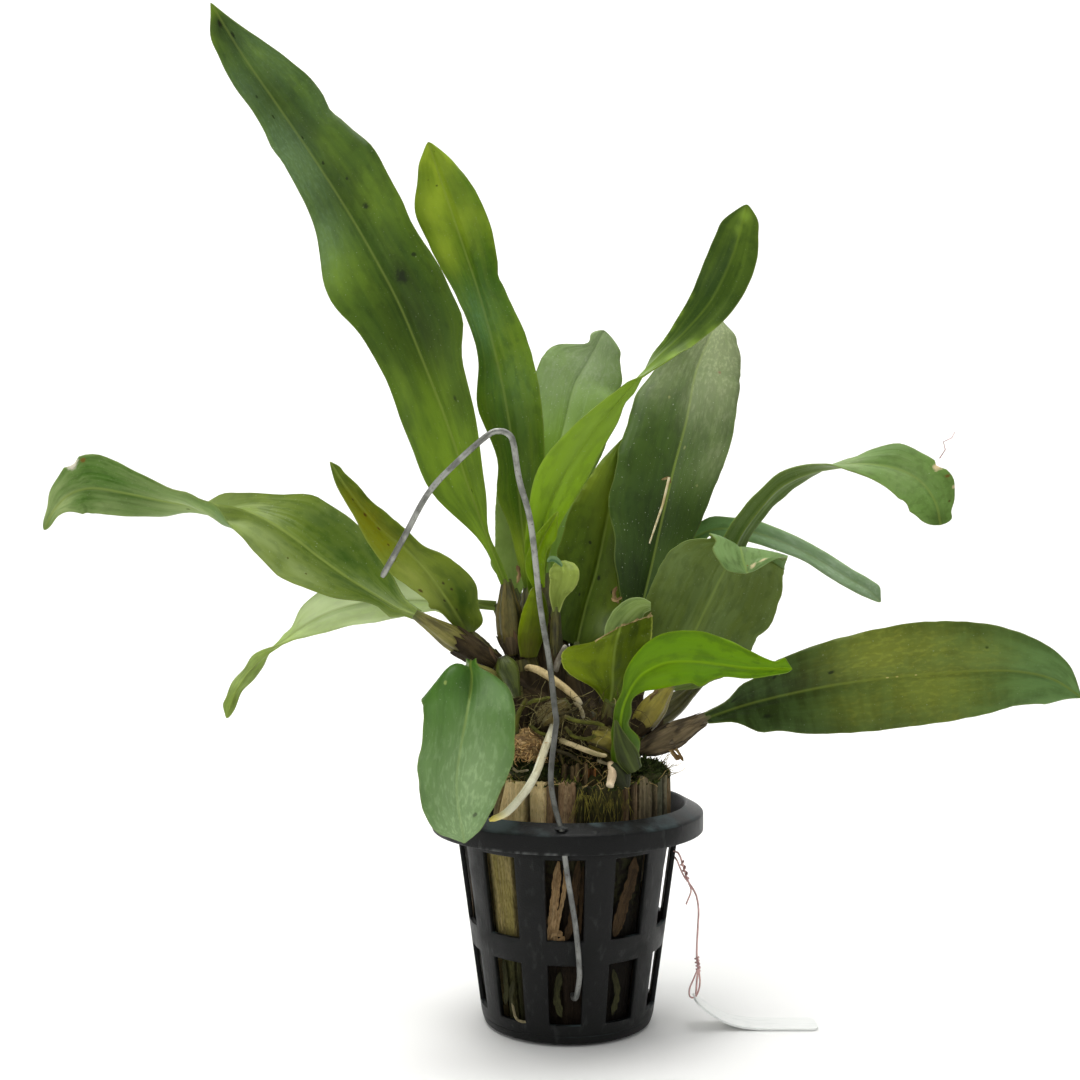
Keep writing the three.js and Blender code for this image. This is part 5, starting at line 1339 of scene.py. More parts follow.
chips = [
    # the first two chips' tones are lifted far above the husk's own tan, as painted light against the shade
    # of the leaves over them
    dict(
        span=(-75, -59), high=76, slant=-1.5, lean=-0.22, tone="#f2d99c", shade="#b0975f", moss=0.05,
        crack=None,
    ),
    dict(
        span=(-58, -24), high=77, slant=0.4, lean=-0.04, tone="#fde4a8", shade="#c0a46a", moss=0.1,
        crack=0.6,
    ),
    dict(
        span=(-23.4, -5), high=77.6, slant=0, lean=0, tone="#94795a", shade="#4a3826", moss=0.2,
        crack=0.35,
    ),
    dict(
        span=(-4.4, 24.6), high=76.4, slant=0.3, lean=0, tone="#403c22", shade="#1d1b12", moss=0.7,
        crack=0.22,
    ),
    dict(
        span=(25.2, 37), high=77.6, slant=-0.6, lean=0, tone="#65513a", shade="#2c2117", moss=0.2,
        crack=0.5,
    ),
    dict(
        span=(37.6, 55.6), high=77, slant=-2.4, lean=0, tone="#6c634c", shade="#332c20", moss=0.3,
        crack=0.7,
    ),
    dict(
        span=(57.4, 72), high=79.4, slant=0.8, lean=0, tone="#747560", shade="#403f33", moss=0.3,
        crack=0.4,
    ),
    dict(
        span=(74, 112), high=77, slant=0.6, lean=0, tone="#7d6848", shade="#43361f", moss=0.5, crack=0.3,
    ),
    dict(
        span=(113.4, 158), high=75, slant=-0.6, lean=0, tone="#927d56", shade="#51402b", moss=0.5,
        crack=0.6,
    ),
    dict(
        span=(159.4, 196), high=77.4, slant=1, lean=0, tone="#7a6748", shade="#3c2f1c", moss=0.4,
        crack=0.4,
    ),
    dict(
        span=(197.4, 240), high=75.4, slant=-0.8, lean=-0.06, tone="#96805a", shade="#54432c", moss=0.4,
        crack=0.5,
    ),
    dict(
        span=(241.4, 284), high=77.4, slant=0.4, lean=-0.14, tone="#8f8058", shade="#51452c", moss=0.4,
        crack=0.65,
    ),
]


def coconutHusk(name, tone, shade):
    # chopped coconut husk: coarse fibres along the chip, weathered, with moss where it stays wet and painted
    # shade in cracks and hollows
    material, tree, place, masks = startMaterial(name, ["moss", "deep"], surface=name != "packedHusk")
    seed = seedOf(name, 71)
    fibres = patches(tree, place, 0.9, 0.4, 0.64, stretch=(1, 0.05, 1), shift=seed)
    strips = patches(tree, place, 3, 0.44, 0.6, stretch=(1, 0.07, 1), shift=seed + 4)
    blots = patches(tree, place, 6, 0.45, 0.64, shift=seed + 8)
    grain = patches(tree, place, 0.35, 0.45, 0.65, stretch=(1, 0.2, 1), detail=4, shift=seed)
    specks = patches(tree, place, 0.7, 0.6, 0.68, stretch=(1, 0.4, 1), detail=3, shift=seed + 6)
    green = patches(tree, place, 2, 0.42, 0.58, detail=5, shift=seed + 2)
    mossy = addNode(tree, "Math", {0: masks["moss"], 1: green}, operation="MULTIPLY").outputs[0]
    thread = tone if tone < "#500000" else "#c2ad84"  # no pale threads on wet, dark husk
    tint = layColours(tree, tone, [
        (strips, 0.25, shade), (blots, 0.35, shade), (fibres, 0.22, thread), (grain, 0.45, shade),
        # the deep mask is painted shade: cracks, hollows and the buried core are darkened
        (specks, 0.3, "#2b2114"), (masks["deep"], 0.85, "#1d1710"), (mossy, 0.9, husk["moss"]),
    ])
    bumps = [(fibres, 0.7), (strips, 0.5), (grain, 0.3)]
    return finishMaterial(material, tint, 0.88, 0.15, 0, bumps, 0.35)


def addSlab(bm, span, low, topAt, radiusAt, thickness, centre, crack, moss, seed, columns=26, rows=36):
    # an upright slab of husk with a fibrous outer face, from its outer face inwards
    width = math.radians(span[1] - span[0]) * radiusAt((low + topAt(0.5)) / 2)

    def place(u, s):
        top = topAt(u) + 0.5 * rough(u * width, seed, 0, 0.7)
        z = low + s * (top - low)
        x = u * width
        relief = 0.3 * rough(x, z * 0.07, seed, 1.1) + 0.5 * rough(x, z * 0.05, seed + 3, 3.5)
        split = 0
        if crack is not None:
            wander = crack + 0.05 * rough(z, seed, 0, 9)
            split = 1.6 * math.exp(-((u - wander) * width / 0.7) ** 2)
        edge = min(u, 1 - u) * width
        worn = 0.7 * (1 - fade(0, 1.2, edge))
        radius = radiusAt(z) - 0.55 + relief - split - worn
        turn = span[0] + u * (span[1] - span[0]) + 0.5 * rough(z, u, seed, 7) * (1 if u in (0, 1) else 0)
        damp = moss * fade(0.55, 1, s + 0.3 * rough(x, z, seed, 4))
        # cracks and hollows in the face are marked for painted shade
        values = dict(moss=damp, deep=min(split, 1) + 0.4 * max(-relief, 0))
        return Vector((centre, 0, 0)) + polar(radius, turn, z), values

    verts = addGrid(bm, columns, rows, place, (width, topAt(0.5) - low))
    for vert in extrudeCopy(bm, facesOf(verts)):
        away = Vector((vert.co.x - centre, vert.co.y, 0))
        deeper = thickness * (0.85 + 0.25 * rough(vert.co.x, vert.co.y, vert.co.z, 5))
        vert.co -= away.normalized() * deeper


def wallAt(z):
    # the basket's outer radius at a height
    return basket["foot"] + max(z - basket["corner"], 0) * basket["taper"]


def chipRadius(z, lean):
    below, above = min(z - husk["straight"], 0), max(z - husk["straight"], 0)
    return husk["radius"] + below * husk["lean"] + above * lean


def makeChips():
    for i, chip in enumerate(chips):
        bm = newPiece("moss", "deep")
        span = (chip["span"][0] - 90, chip["span"][1] - 90)  # 0 is the front
        addSlab(
            bm, span, husk["low"], lambda u: chip["high"] + 2 * chip["slant"] * (u - 0.5),
            lambda z: chipRadius(z, chip["lean"]), husk["thickness"], husk["centre"], chip["crack"],
            chip["moss"], i * 3 + 1, columns=max(12, int((span[1] - span[0]) * 0.8)),
        )
        name = "huskChip%d" % (i + 1)
        material = coconutHusk(name + "Fibre", chip["tone"], chip["shade"])
        finishPiece(bm, name, material, ["husk_chip_%d" % (i + 1)], 50)


makeChips()
print("husk chips ready")

# a plank is its span in degrees, its bottom, its top, how far it stands back from the wall,
# its thickness, its crack, its tone and its shade
planks = [
    (-143, -114, 28, 57.6, 0.6, 3, 0.7, "#857a45", "#413a1c"),
    (-141, -131, 4, 27, 1.6, 3, None, "#4c4b2c", "#232314"),
    (-130, -118, 3, 25, 2.2, 3, 0.4, "#3f4026", "#1d1d12"),
    # these two planks are nearly black: painted shade inside the basket behind the slots
    (-112, -73, 3, 57.6, 2.2, 2.6, 0.4, "#241c13", "#100c08"),
    (-72, -42, 3, 57.6, 1.0, 1.6, None, "#15110c", "#0a0806"),
    (-36, -20, 3, 45.6, 1.4, 3.4, 0.4, "#4c4030", "#262018"),
    (-19, -4, 3, 45, 1.8, 3.4, None, "#3c3424", "#1f1a12"),
    (2, 30, 3, 45.6, 1.2, 3.4, 0.5, "#6c5a3c", "#3b2f1e"),
    (36, 66, 3, 45.6, 1.6, 3.4, 0.3, "#5f5036", "#352b1c"),
    (72, 104, 4, 45.6, 1.2, 3.4, 0.6, "#6f6042", "#3f3426"),
    (110, 142, 3, 45.6, 1.6, 3.4, 0.4, "#645438", "#372d1d"),
    (148, 182, 3, 52, 1.2, 3.4, 0.5, "#6f613f", "#3c3222"),
    (186, 214, 3, 57.6, 1.0, 2.4, 0.4, "#847750", "#4c432c"),
]
core = dict(
    levels=[
        (2.4, 18, 0), (6, 21.6, 0), (25, 24.2, 0), (44, 25.6, 0), (46.4, 25.4, 0), (46.8, 19.4, 3.6),
        (60, 21, 4.2), (74.6, 21.4, 4.2), (79.5, 18.6, 3), (83, 12.6, 0), (84.4, 6, -2),
    ],
)


def makeCore():
    bm = newPiece("moss", "deep")
    count = len(core["levels"]) - 1
    rings = count * 6

    def place(u, s):
        z, radius, shift = [between(column, s) for column in zip(*core["levels"])]
        angle = 2 * math.pi * (u % 1)
        point = Vector((shift + radius * math.cos(angle), radius * math.sin(angle), z))
        bump = rough(point.x, point.y, point.z, 3.2) * 0.8 + rough(point.x, point.y, point.z, 1.3) * 0.5
        upward = fade(74, 80, z)
        point += polar(1 - upward, math.degrees(angle), upward) * bump
        # the core is darkened below the tops of the chips as painted shade
        return point, dict(moss=1.3 * fade(60, 74, z), deep=1 - 0.8 * fade(70, 77, z))

    made = addGrid(bm, 90, rings, place, (150, 90), weld=True)
    capEnds(bm, made)
    finishPiece(bm, "huskCore", coconutHusk("packedHusk", "#43391f", "#1d1810"), ["husk_core"], 70)
    for i, (start, end, low, high, back, thickness, crack, tone, shade) in enumerate(planks):
        bm = newPiece("moss", "deep")
        addSlab(
            bm, (start, end), low, lambda u: high + 1.2 * rough(u * 4, i, 0, 1),
            lambda z: wallAt(z) - basket["wall"] - back, thickness, 0, crack, 0.3, i * 5 + 2,
            columns=max(12, int((end - start) * 0.8)), rows=60,
        )
        name = "huskPlank%d" % (i + 1)
        finishPiece(bm, name, coconutHusk(name + "Fibre", tone, shade), (), 50)


makeCore()

chunk = dict(
    path=[(-16, -14.6, 85.6), (-12, -16, 87.4), (-7.6, -15.4, 86.2)], radii=[2.6, 4.4, 4.8, 4.2, 2.4],
)


def crumblyBark():
    # rotted bark: soft brown crumbs with paler broken faces
    material, tree, place, _ = startMaterial("crumblyBark")
    lumps = patches(tree, place, 2.4, 0.42, 0.6)
    pale = patches(tree, place, 1.4, 0.5, 0.66, detail=5, shift=4)
    grain = patches(tree, place, 0.5, 0.45, 0.65, detail=4)
    layers = [(lumps, 0.7, "#5c4228"), (pale, 0.8, "#e0bb84"), (grain, 0.3, "#473220")]
    tint = layColours(tree, "#a98752", layers)
    return finishMaterial(material, tint, 0.9, bumps=[(lumps, 0.6), (grain, 0.5), (pale, 0.4)], depth=0.8)


def makeChunk():
    bm = newPiece()

    def radiusAt(t, angle):
        lump = rough(math.cos(angle) * 4, math.sin(angle) * 4, t * 12, 2.2)
        crumb = rough(math.cos(angle) * 4, math.sin(angle) * 4, t * 12, 0.8)
        return between(chunk["radii"], t) * (0.97 + 0.16 * lump + 0.09 * crumb)

    addTube(bm, chunk["path"], radiusAt, sides=48, rings=36)
    finishPiece(bm, "barkChunk", crumblyBark(), ["bark_chunk"], 60)


makeChunk()
print("core, mound and chunk ready")


def mouldedPlastic():
    # black polypropylene from a mould: satin, scuffed and dusty, with paler, bluish faces turned upwards and
    # worn edges
    material, tree, place, masks = startMaterial("blackPolypropylene", ["worn"], surface=False)
    dust = patches(tree, place, 9, 0.46, 0.7, detail=5)
    scuffs = patches(tree, place, 2.2, 0.58, 0.72, stretch=(1, 1, 0.4), detail=5, shift=5)
    grain = patches(tree, place, 0.4, 0.45, 0.65, detail=3)
    # faces turned upwards are made paler and bluish
    up = addNode(tree, "SeparateXYZ", {0: addNode(tree, "NewGeometry").outputs["Normal"]}).outputs[2]
    facing = addNode(tree, "MapRange", {0: up, 1: 0.2, 2: 0.8}).outputs[0]
    paleUpwardFaces = addNode(tree, "Math", {0: facing, 1: dust}, operation="MULTIPLY").outputs[0]
    tint = layColours(tree, basket["plastic"], [
        (dust, 0.1, "#2c302c"), (scuffs, 0.16, "#4a4d4b"), (paleUpwardFaces, 0.5, "#4f6062"),
        (masks["worn"], 0.17, "#a3a6a4"),
    ])
    rougher = addNode(tree, "Math", {0: dust, 1: 0.2, 2: 0.42}, operation="MULTIPLY_ADD").outputs[0]
    return finishMaterial(material, tint, rougher, 0.2, 0, [(grain, 0.4), (scuffs, 0.6)], 0.08)


def roundProfile(points, radius, steps=3):
    # each corner of a closed outline becomes a small arc
    found = []
    for i, corner in enumerate(points):
        corner = Vector(corner)
        before, after = Vector(points[i - 1]), Vector(points[(i + 1) % len(points)])
        reach = min(radius, (before - corner).length / 3, (after - corner).length / 3)
        a = corner + (before - corner).normalized() * reach
        b = corner + (after - corner).normalized() * reach
        for k in range(steps + 1):
            t = k / steps
            found.append(a.lerp(corner, t).lerp(corner.lerp(b, t), t))
    return found


def addRing(bm, profile, columns=180, start=0.0, worn=None):
    # a closed outline of radius and height, turned once round the axis
    count = len(profile)

    def place(u, s):
        radius, z = profile[round(s * count) % count]
        angle = start + 360 * (u % 1)
        return polar(radius, angle, z), dict(worn=worn(angle, radius, z) if worn else 0)

    return addGrid(bm, columns, count, place, (200, 60), weld=True)


def turnOf(face, first, pitch):
    # how many degrees a face lies from the nearest repeat of the pattern
    middle = face.calc_center_median()
    return (math.degrees(math.atan2(middle.y, middle.x)) - first + pitch / 2) % pitch - pitch / 2


def makeBasket():
    bm = newPiece("worn")
    starts = [basket["first"] + basket["pitch"] * i for i in range(basket["slots"])]
    stops = [middle + stop for middle in starts for stop in basket["slotStops"]]
    stops.append(stops[0] + 360)
    heights = basket["levels"]

    def place(u, s):
        z = heights[round(s * (len(heights) - 1))]
        return polar(wallAt(z), stops[round(u * (len(stops) - 1))], z), dict(worn=0)

    faces = facesOf(addGrid(bm, len(stops) - 1, len(heights) - 1, place, (200, 60), weld=True))
    openings = []
    for face in faces:
        z = face.calc_center_median().z
        inTier = any(low < z < high for low, high in basket["tiers"])
        if inTier and abs(turnOf(face, basket["first"], basket["pitch"])) < basket["half"]:
            openings.append(face)
    bmesh.ops.delete(bm, geom=openings, context="FACES")
    for vert in extrudeCopy(bm, [face for face in faces if face.is_valid]):
        vert.co -= Vector((vert.co.x, vert.co.y, 0)).normalized() * basket["wall"]
    bmesh.ops.recalc_face_normals(bm, faces=bm.faces[:])
    sharp = [edge for edge in bm.edges if len(edge.link_faces) == 2 and edge.calc_face_angle() > 0.7]
    bmesh.ops.bevel(
        bm, geom=sharp, offset=0.35, offset_type="OFFSET", affect="EDGES", segments=2, profile=0.5,
        material=-1,
    )

    def wornRim(angle, radius, z):
        # the rim's lower edge has rubbed pale where the wire and hands reach it
        turn = (angle + 180) % 360 - 180
        low = 1 - fade(0.1, 0.8, abs(z - 59.9))
        front = fade(-130, -122, turn) * (1 - fade(-94, -88, turn)) + 0.3
        return low * front * fade(-0.15, 0.35, rough(angle, 2, 0, 1.6)) if radius > 41.4 else 0

    addRing(bm, roundProfile(basket["rim"], 0.5), columns=240, worn=wornRim)
    addRing(bm, roundProfile(basket["footRing"], 0.3))
    plastic = mouldedPlastic()
    finishPiece(bm, "netBasket", plastic, ["basket"], 40)
    makeFloorGrid(plastic)


def makeFloorGrid(plastic):
    # the slotted floor: five spokes of slots, so the plate is a disc of bars
    bm = newPiece("worn")
    grid, radii = floorGrid, floorGrid["radii"]
    first = basket["first"] + basket["pitch"]
    angles = [first + grid["pitch"] * i + stop for i in range(grid["spokes"]) for stop in grid["stops"]]
    angles.append(angles[0] + 360)

    def place(u, s):
        radius = radii[round(s * (len(radii) - 1))]
        turn = angles[round(u * (len(angles) - 1))]
        near = round((turn - first) / grid["pitch"]) * grid["pitch"] + first
        if abs(turn - near) <= grid["half"] and radius >= grid["inner"]:
            side = grid["wide"] * (turn - near) / grid["half"]  # the slot's sides run parallel
            turn = near + math.degrees(math.asin(side / radius))
        return polar(radius, turn, 0.0), dict(worn=0)

    faces = facesOf(addGrid(bm, len(angles) - 1, len(radii) - 1, place, (100, 20), weld=True))
    gone = []
    for face in faces:
        out = face.calc_center_median().length
        aside = out * math.sin(math.radians(turnOf(face, first, grid["pitch"])))
        if grid["inner"] < out < grid["outer"] and abs(aside) < grid["wide"]:
            gone.append(face)
    bmesh.ops.delete(bm, geom=gone, context="FACES")
    for vert in extrudeCopy(bm, [face for face in faces if face.is_valid]):
        vert.co.z += basket["floor"]
    finishPiece(bm, "basketFloor", plastic, (), 40)


makeBasket()

hanger = dict(
    diameter=1.6, hole=(-2.4, -39.2, 66.7),
    route=[
        (1, -23, 15), (1.3, -26, 14.6), (2, -29.2, 16), (2.6, -31, 20), (2.8, -31.9, 25),
        (1.6, -33.6, 38), (-0.6, -36, 52), (-1.8, -38.6, 61), (-2.5, -39.5, 66.5), (-4.5, -41, 74),
        (-5.5, -43.5, 82.5), (-4.5, -47, 94), (-4, -48.5, 98.5), (-4.5, -49.5, 102.5), (-6, -53.5, 115.5),
        (-8.5, -58, 131), (-11, -65, 153), (-14, -68.5, 164.5), (-15.5, -71.5, 174), (-17, -72, 176.4),
        (-19.2, -72.5, 177), (-22, -73, 176), (-29.5, -73, 169.5), (-37.5, -72.5, 161), (-44, -71, 149.5),
        (-50, -69, 139),
    ],
)


def galvanisedWire():
    # galvanised steel wire that has weathered: dull zinc grey, darker from the rim up to between 108 and 136
    # mm, and with painted shade below the rim
    material, tree, place, _ = startMaterial("galvanisedSteelWire", surface=False)
    dull = patches(tree, place, 4, 0.42, 0.62, detail=4)
    specks = patches(tree, place, 0.7, 0.58, 0.7, detail=4, shift=3)
    height = addNode(tree, "SeparateXYZ", {0: place}).outputs[2]
    # the stretch from the rim up to between 108 and 136 mm is darker
    belowBend = addNode(tree, "MapRange", {0: height, 1: 136, 2: 108}).outputs[0]
    aboveRim = addNode(tree, "MapRange", {0: height, 1: 60, 2: 66}).outputs[0]
    damp = addNode(tree, "Math", {0: belowBend, 1: aboveRim}, operation="MULTIPLY").outputs[0]
    # below the rim the wire is darkened as painted shade under the rim's lip
    belowRimShade = addNode(tree, "MapRange", {0: height, 1: 62, 2: 58}).outputs[0]
    tint = layColours(tree, "#a2a39c", [
        (dull, 0.7, "#5c5d58"), (damp, 0.7, "#2f302d"), (belowRimShade, 0.5, "#55575a"), (specks, 0.6, "#4a3f30"),
    ])
    return finishMaterial(material, tint, 0.5, 0.5, 0.75, [(dull, 0.5), (specks, 0.5)], 0.08)


def makeHanger():
    bm = newPiece()
    radius = hanger["diameter"] / 2

    def radiusAt(t, angle):
        return radius * (1 - 0.35 * (fade(0.996, 1, t) + 1 - fade(0, 0.004, t)))

    addTube(bm, hanger["route"], radiusAt, sides=14, rings=260)
    finishPiece(bm, "hangerWire", galvanisedWire(), ["hanger_wire"], 60)
    bm = newPiece("worn")
    lip = []
    for step in range(21):
        x, y, _ = polar(1, 18 * step)
        lip.append(Vector(hanger["hole"]) + Vector((x * 1.5, y * 1.3, -y * 0.7)))
    addTube(bm, lip, lambda t, angle: 0.42, sides=8, rings=40, values=lambda t, angle: dict(worn=0.8))
    finishPiece(bm, "wireHoleLip", bpy.data.materials["blackPolypropylene"], (), 60)


makeHanger()
print("basket and hanger ready")


def addStrip(bm, points, width, thickness, side, curl=0.0, ragged=0.15, seed=0, columns=6, rows=18):
    # a thin curved flake or splinter: its width, how thick it is, and how much it curls across
    places, length = followPath(points, rows)
    facing = Vector(side)

    def place(u, s):
        i = round(s * rows)
        ahead = (places[min(i + 1, rows)] - places[max(i - 1, 0)]).normalized()
        flat = (facing - ahead * facing.dot(ahead)).normalized()
        v = 2 * u - 1
        ends = min(1, 6 * s + 0.25, 6 * (1 - s) + 0.25)
        half = width / 2 * ends * (1 + ragged * rough(s * length, 4 * v, seed, 1.2))
        return places[i] + flat * v * half + ahead.cross(flat) * curl * v * v * half, {}

    verts = addGrid(bm, columns, rows, place, (width, length))
    bmesh.ops.solidify(bm, geom=facesOf(verts), thickness=thickness)


splinters = dict(
    light=[
        (
            [(-3.2, -29.8, 55.5), (-4.2, -29.6, 46), (-5.2, -29, 36), (-5, -28.6, 30)], 2.2, 1.2,
            (1, -0.1, 0.1),
        ),
        ([(-1, -30.2, 56), (-1.6, -30, 47), (-3.4, -29.6, 38), (-4.4, -29, 31)], 1.1, 0.8, (1, -0.3, 0)),
        ([(-5.5, -28.4, 33.4), (-3.4, -29.4, 32.2), (-1.4, -29.2, 33.4)], 1.5, 1, (0.2, 0, 1)),
        ([(-5.8, -28.4, 32.6), (-4.8, -29.4, 34.8), (-2, -29.2, 34.6)], 1, 0.8, (0.2, 0, 1)),
    ],
    brown=[
        ([(2.6, -30.2, 56), (1.6, -29.8, 47), (0.6, -29.2, 38), (-1.4, -28.8, 32.5)], 2, 1, (1, 0.2, 0)),
        ([(4, -29.6, 54), (3.4, -29, 44), (2.8, -28.4, 34)], 1.2, 0.8, (1, 0.3, 0)),
        (
            [(19.4, -25, 55.5), (17.6, -25.6, 48), (15.4, -26, 41), (13.2, -26.4, 33.5)], 3.4, 0.8,
            (0.9, 0.5, 0.1),
        ),
        ([(-30.2, -6, 55), (-29.4, -7.4, 44), (-28.8, -6.4, 34)], 2, 1, (0.2, -1, 0)),
        ([(-29.6, -8, 56), (-29.8, -5, 50), (-28.8, -7.4, 42)], 1, 0.8, (0.2, -1, 0)),
    ],
    olive=[
        ([(-19.4, -18.2, 24), (-18.6, -18.6, 16), (-18.9, -18.4, 11)], 1.8, 0.8, (0.7, -0.7, 0.1)),
        ([(-16.4, -20.4, 18), (-17.2, -20, 13), (-16, -20, 8.4)], 1.4, 0.8, (0.8, -0.6, -0.2)),
        ([(-2.6, -25.4, 22), (-3.8, -25.2, 15), (-2.2, -25, 9.4)], 1.8, 0.8, (1, 0, 0.1)),
        ([(13, -22.6, 22), (14.2, -21.8, 15), (12.8, -21.8, 9)], 1.8, 0.8, (0.85, 0.5, 0)),
    ],
)
splinterLooks = dict(
    light=("#8f7450", "#3f301e"), brown=("#41321f", "#1f1710"), olive=("#3b3b24", "#1a1a10"),
)

# splinters of husk behind the slots: the run of each, its width, its thickness and the way its width lies
for kind, strips in splinters.items():
    bm = newPiece()
    for i, (points, width, thickness, side) in enumerate(strips):
        addStrip(bm, points, width, thickness, side, curl=0.15, ragged=0.45, seed=i, columns=8, rows=40)
    finishPiece(bm, kind + "Splinters", coconutHusk(kind + "Splinter", *splinterLooks[kind]), (), 50)

# small chips that lie on the mound in front
moundChips = [
    ((-108, -97), 76.4, 81.4, 21.6, "#7d6848", "#43341f"),
    ((-96.4, -86), 76.4, 82, 21.9, "#8b7450", "#4c3c25"),
    ((-85.6, -79), 76.4, 80.6, 21.4, "#c07a3a", "#7a4a20"),
    ((-78, -66), 76.4, 80.4, 20.6, "#6a5636", "#382b1a"),
]
for i, (span, low, high, radius, tone, shade) in enumerate(moundChips):
    bm = newPiece("moss", "deep")
    topAt = lambda u: high + rough(u * 3, i, 0, 1)
    addSlab(bm, span, low, topAt, lambda z: radius, 3, husk["centre"], 0.5, 0.5, i + 40, 12, 10)
    name = "moundChip%d" % (i + 1)
    finishPiece(bm, name, coconutHusk(name + "Fibre", tone, shade), (), 50)

# cushions of moss on the ring: the run of each, its radius, and how many shoots stand on it
cushions = [
    ([(15, -19.6, 77.4), (19.6, -18, 78.6), (24.4, -15.6, 79), (28.6, -11.6, 78)], 3.4, 520),
    ([(-18.4, -11, 80.6), (-15, -16, 79.4), (-9.4, -19.4, 78.4), (-3.4, -20.8, 77.6)], 2.8, 420),
    ([(20, 12, 77.6), (12, 18.4, 78.4), (4, 20.4, 77.6)], 3.4, 300),
    ([(-14, 8, 80), (-15.6, 0, 79.6), (-16.4, -6, 79)], 3.2, 260),
]


def makeCushions():
    bm = newPiece("moss", "deep")
    draw = random.Random(23)
    strands = []
    steps = 30
    up = Vector((0, 0, 1))
    for i, (run, size, count) in enumerate(cushions):
        def radiusAt(t, angle):
            swell = math.sin(math.pi * (0.12 + 0.76 * t))
            lumps = 0.16 * rough(angle * 2, t * 16, i, 1.6) + 0.1 * rough(angle * 2, t * 16, i, 0.6)
            return size * swell * (0.9 + lumps)
        # the cushions get a little painted shade
        addTube(bm, run, radiusAt, sides=40, rings=70, values=lambda t, angle: dict(moss=1.5, deep=0.15))
        places, _ = followPath(run, steps)
        for _ in range(count):
            t, angle = draw.uniform(0.04, 0.96), draw.uniform(0.1, math.pi - 0.1)
            ahead = (places[min(int(t * steps) + 1, steps)] - places[int(t * steps)]).normalized()
            out = up.cross(ahead).normalized() * math.cos(angle) + up * math.sin(angle)
            start = places[round(t * steps)] + out * radiusAt(t, angle) * 0.85
            lean = out + Vector([draw.uniform(-0.35, 0.35) for _ in range(3)])
            strands.append(curvedHair(draw, start, lean, draw.uniform(1, 2.6), 0.3, 2))
    finishPiece(bm, "mossCushions", coconutHusk("cushionMoss", "#3b3d1f", "#1c1d10"), (), 60)
    shoots = fibreMaterial("cushionShootMoss", "#39451b", "#1f2610")
    fibrePiece("cushionShoots", strands, 0.55, shoots)


fineRoots = dict(
    green=[
        (
            [
                (-1.2, -21, 96.4), (1.4, -22.6, 95.6), (3.9, -22.6, 94.9), (7.4, -21.6, 94.6),
                (10.4, -20.4, 93.7),
            ],
            0.8,
        ),
        ([(-12.4, -17, 99.6), (-10.4, -18.6, 100.8), (-8.2, -18.4, 101), (-5.8, -17, 101.6)], 0.8),
        ([(-12.6, -15, 101), (-15.2, -16.4, 96), (-15.4, -17.2, 91.4), (-13.6, -17.4, 88)], 0.9),
        ([(-11.6, -18.4, 93.8), (-9, -19.8, 91.6), (-5.8, -19.4, 90.4)], 0.7),
        ([(-1, -19.6, 93), (1.4, -21.4, 90.6), (5.2, -21.2, 89.8), (8.4, -19.8, 90.8)], 0.7),
        ([(12, -16, 92.6), (14.6, -19, 90), (18, -18.6, 88), (20.4, -16, 85.6)], 0.8),
    ],
    olive=[
        ([(-4, -17.6, 96), (0.6, -19.4, 97.6), (4.4, -18.4, 99.4), (6.4, -16.4, 101)], 0.6),
        ([(-9, -17, 88), (-5, -20.4, 86.6), (0.4, -21.6, 85), (4, -21, 82.4)], 0.7),
        ([(6, -19.4, 88.4), (10.4, -21.4, 86.8), (13.4, -20.6, 84.6)], 0.6),
        ([(-14, -12, 96), (-17.4, -14.4, 92), (-17.8, -15.6, 88), (-16.4, -15.8, 84)], 0.6),
        ([(16, -12, 90), (18.6, -14.6, 86.4), (18.8, -15.4, 82.4), (20.6, -15.4, 79.6)], 0.7),
        ([(2, -14, 94), (0.4, -17.8, 90.6), (-2.4, -19.2, 86), (-1.8, -19.8, 82)], 0.6),
        ([(-10, 4, 90), (-15, 8, 86), (-17, 10, 81)], 0.8),
        ([(6, 6, 88), (9, 11, 84), (9.6, 14, 80)], 0.8),
        ([(18, 4, 86), (22, 7, 82), (22.6, 9.4, 79)], 0.7),
        ([(-2, 8, 92), (-3, 13, 87), (-1, 17, 81)], 0.7),
    ],
    pale=[
        ([(1.8, -17, 100.4), (3.6, -19.4, 98.4), (4.4, -20, 95.8)], 0.8),
        ([(-17, -18, 81.6), (-15.4, -20.4, 80), (-12, -21.6, 80.6)], 0.5),
        ([(8.4, -21, 83.4), (11.4, -22.4, 82.6), (13.6, -21.8, 83.2)], 0.6),
        ([(-17, -19, 12), (-15.6, -22.6, 7.6), (-12.4, -23.6, 6.8), (-9.6, -23.4, 8)], 0.5),
    ],
)
fineRootLooks = dict(
    green=dict(skin="#5f6120", dirt="#2e2d10", tip="#7c7f38"),
    olive=dict(skin="#473f1e", dirt="#1f1b0f", tip="#5c5228"),
    pale=dict(skin="#a89e80", dirt="#6b6244", tip="#c4baa0"),
)
for kind, runs in fineRoots.items():
    bm = newPiece("tip", "base")
    for i, (points, radius) in enumerate(runs):
        knobby = lambda t, angle: radius * (0.78 + 0.22 * rough(t * 14, angle, i, 1) - 0.3 * fade(0.9, 1, t))
        paintAt = lambda t, angle: dict(tip=fade(0.85, 1, t), base=1 - fade(0, 0.15, t))
        addTube(bm, points, knobby, sides=10, rings=34, values=paintAt)
    finishPiece(bm, kind + "Rootlets", velamen(kind + "RootletSkin", fineRootLooks[kind]))

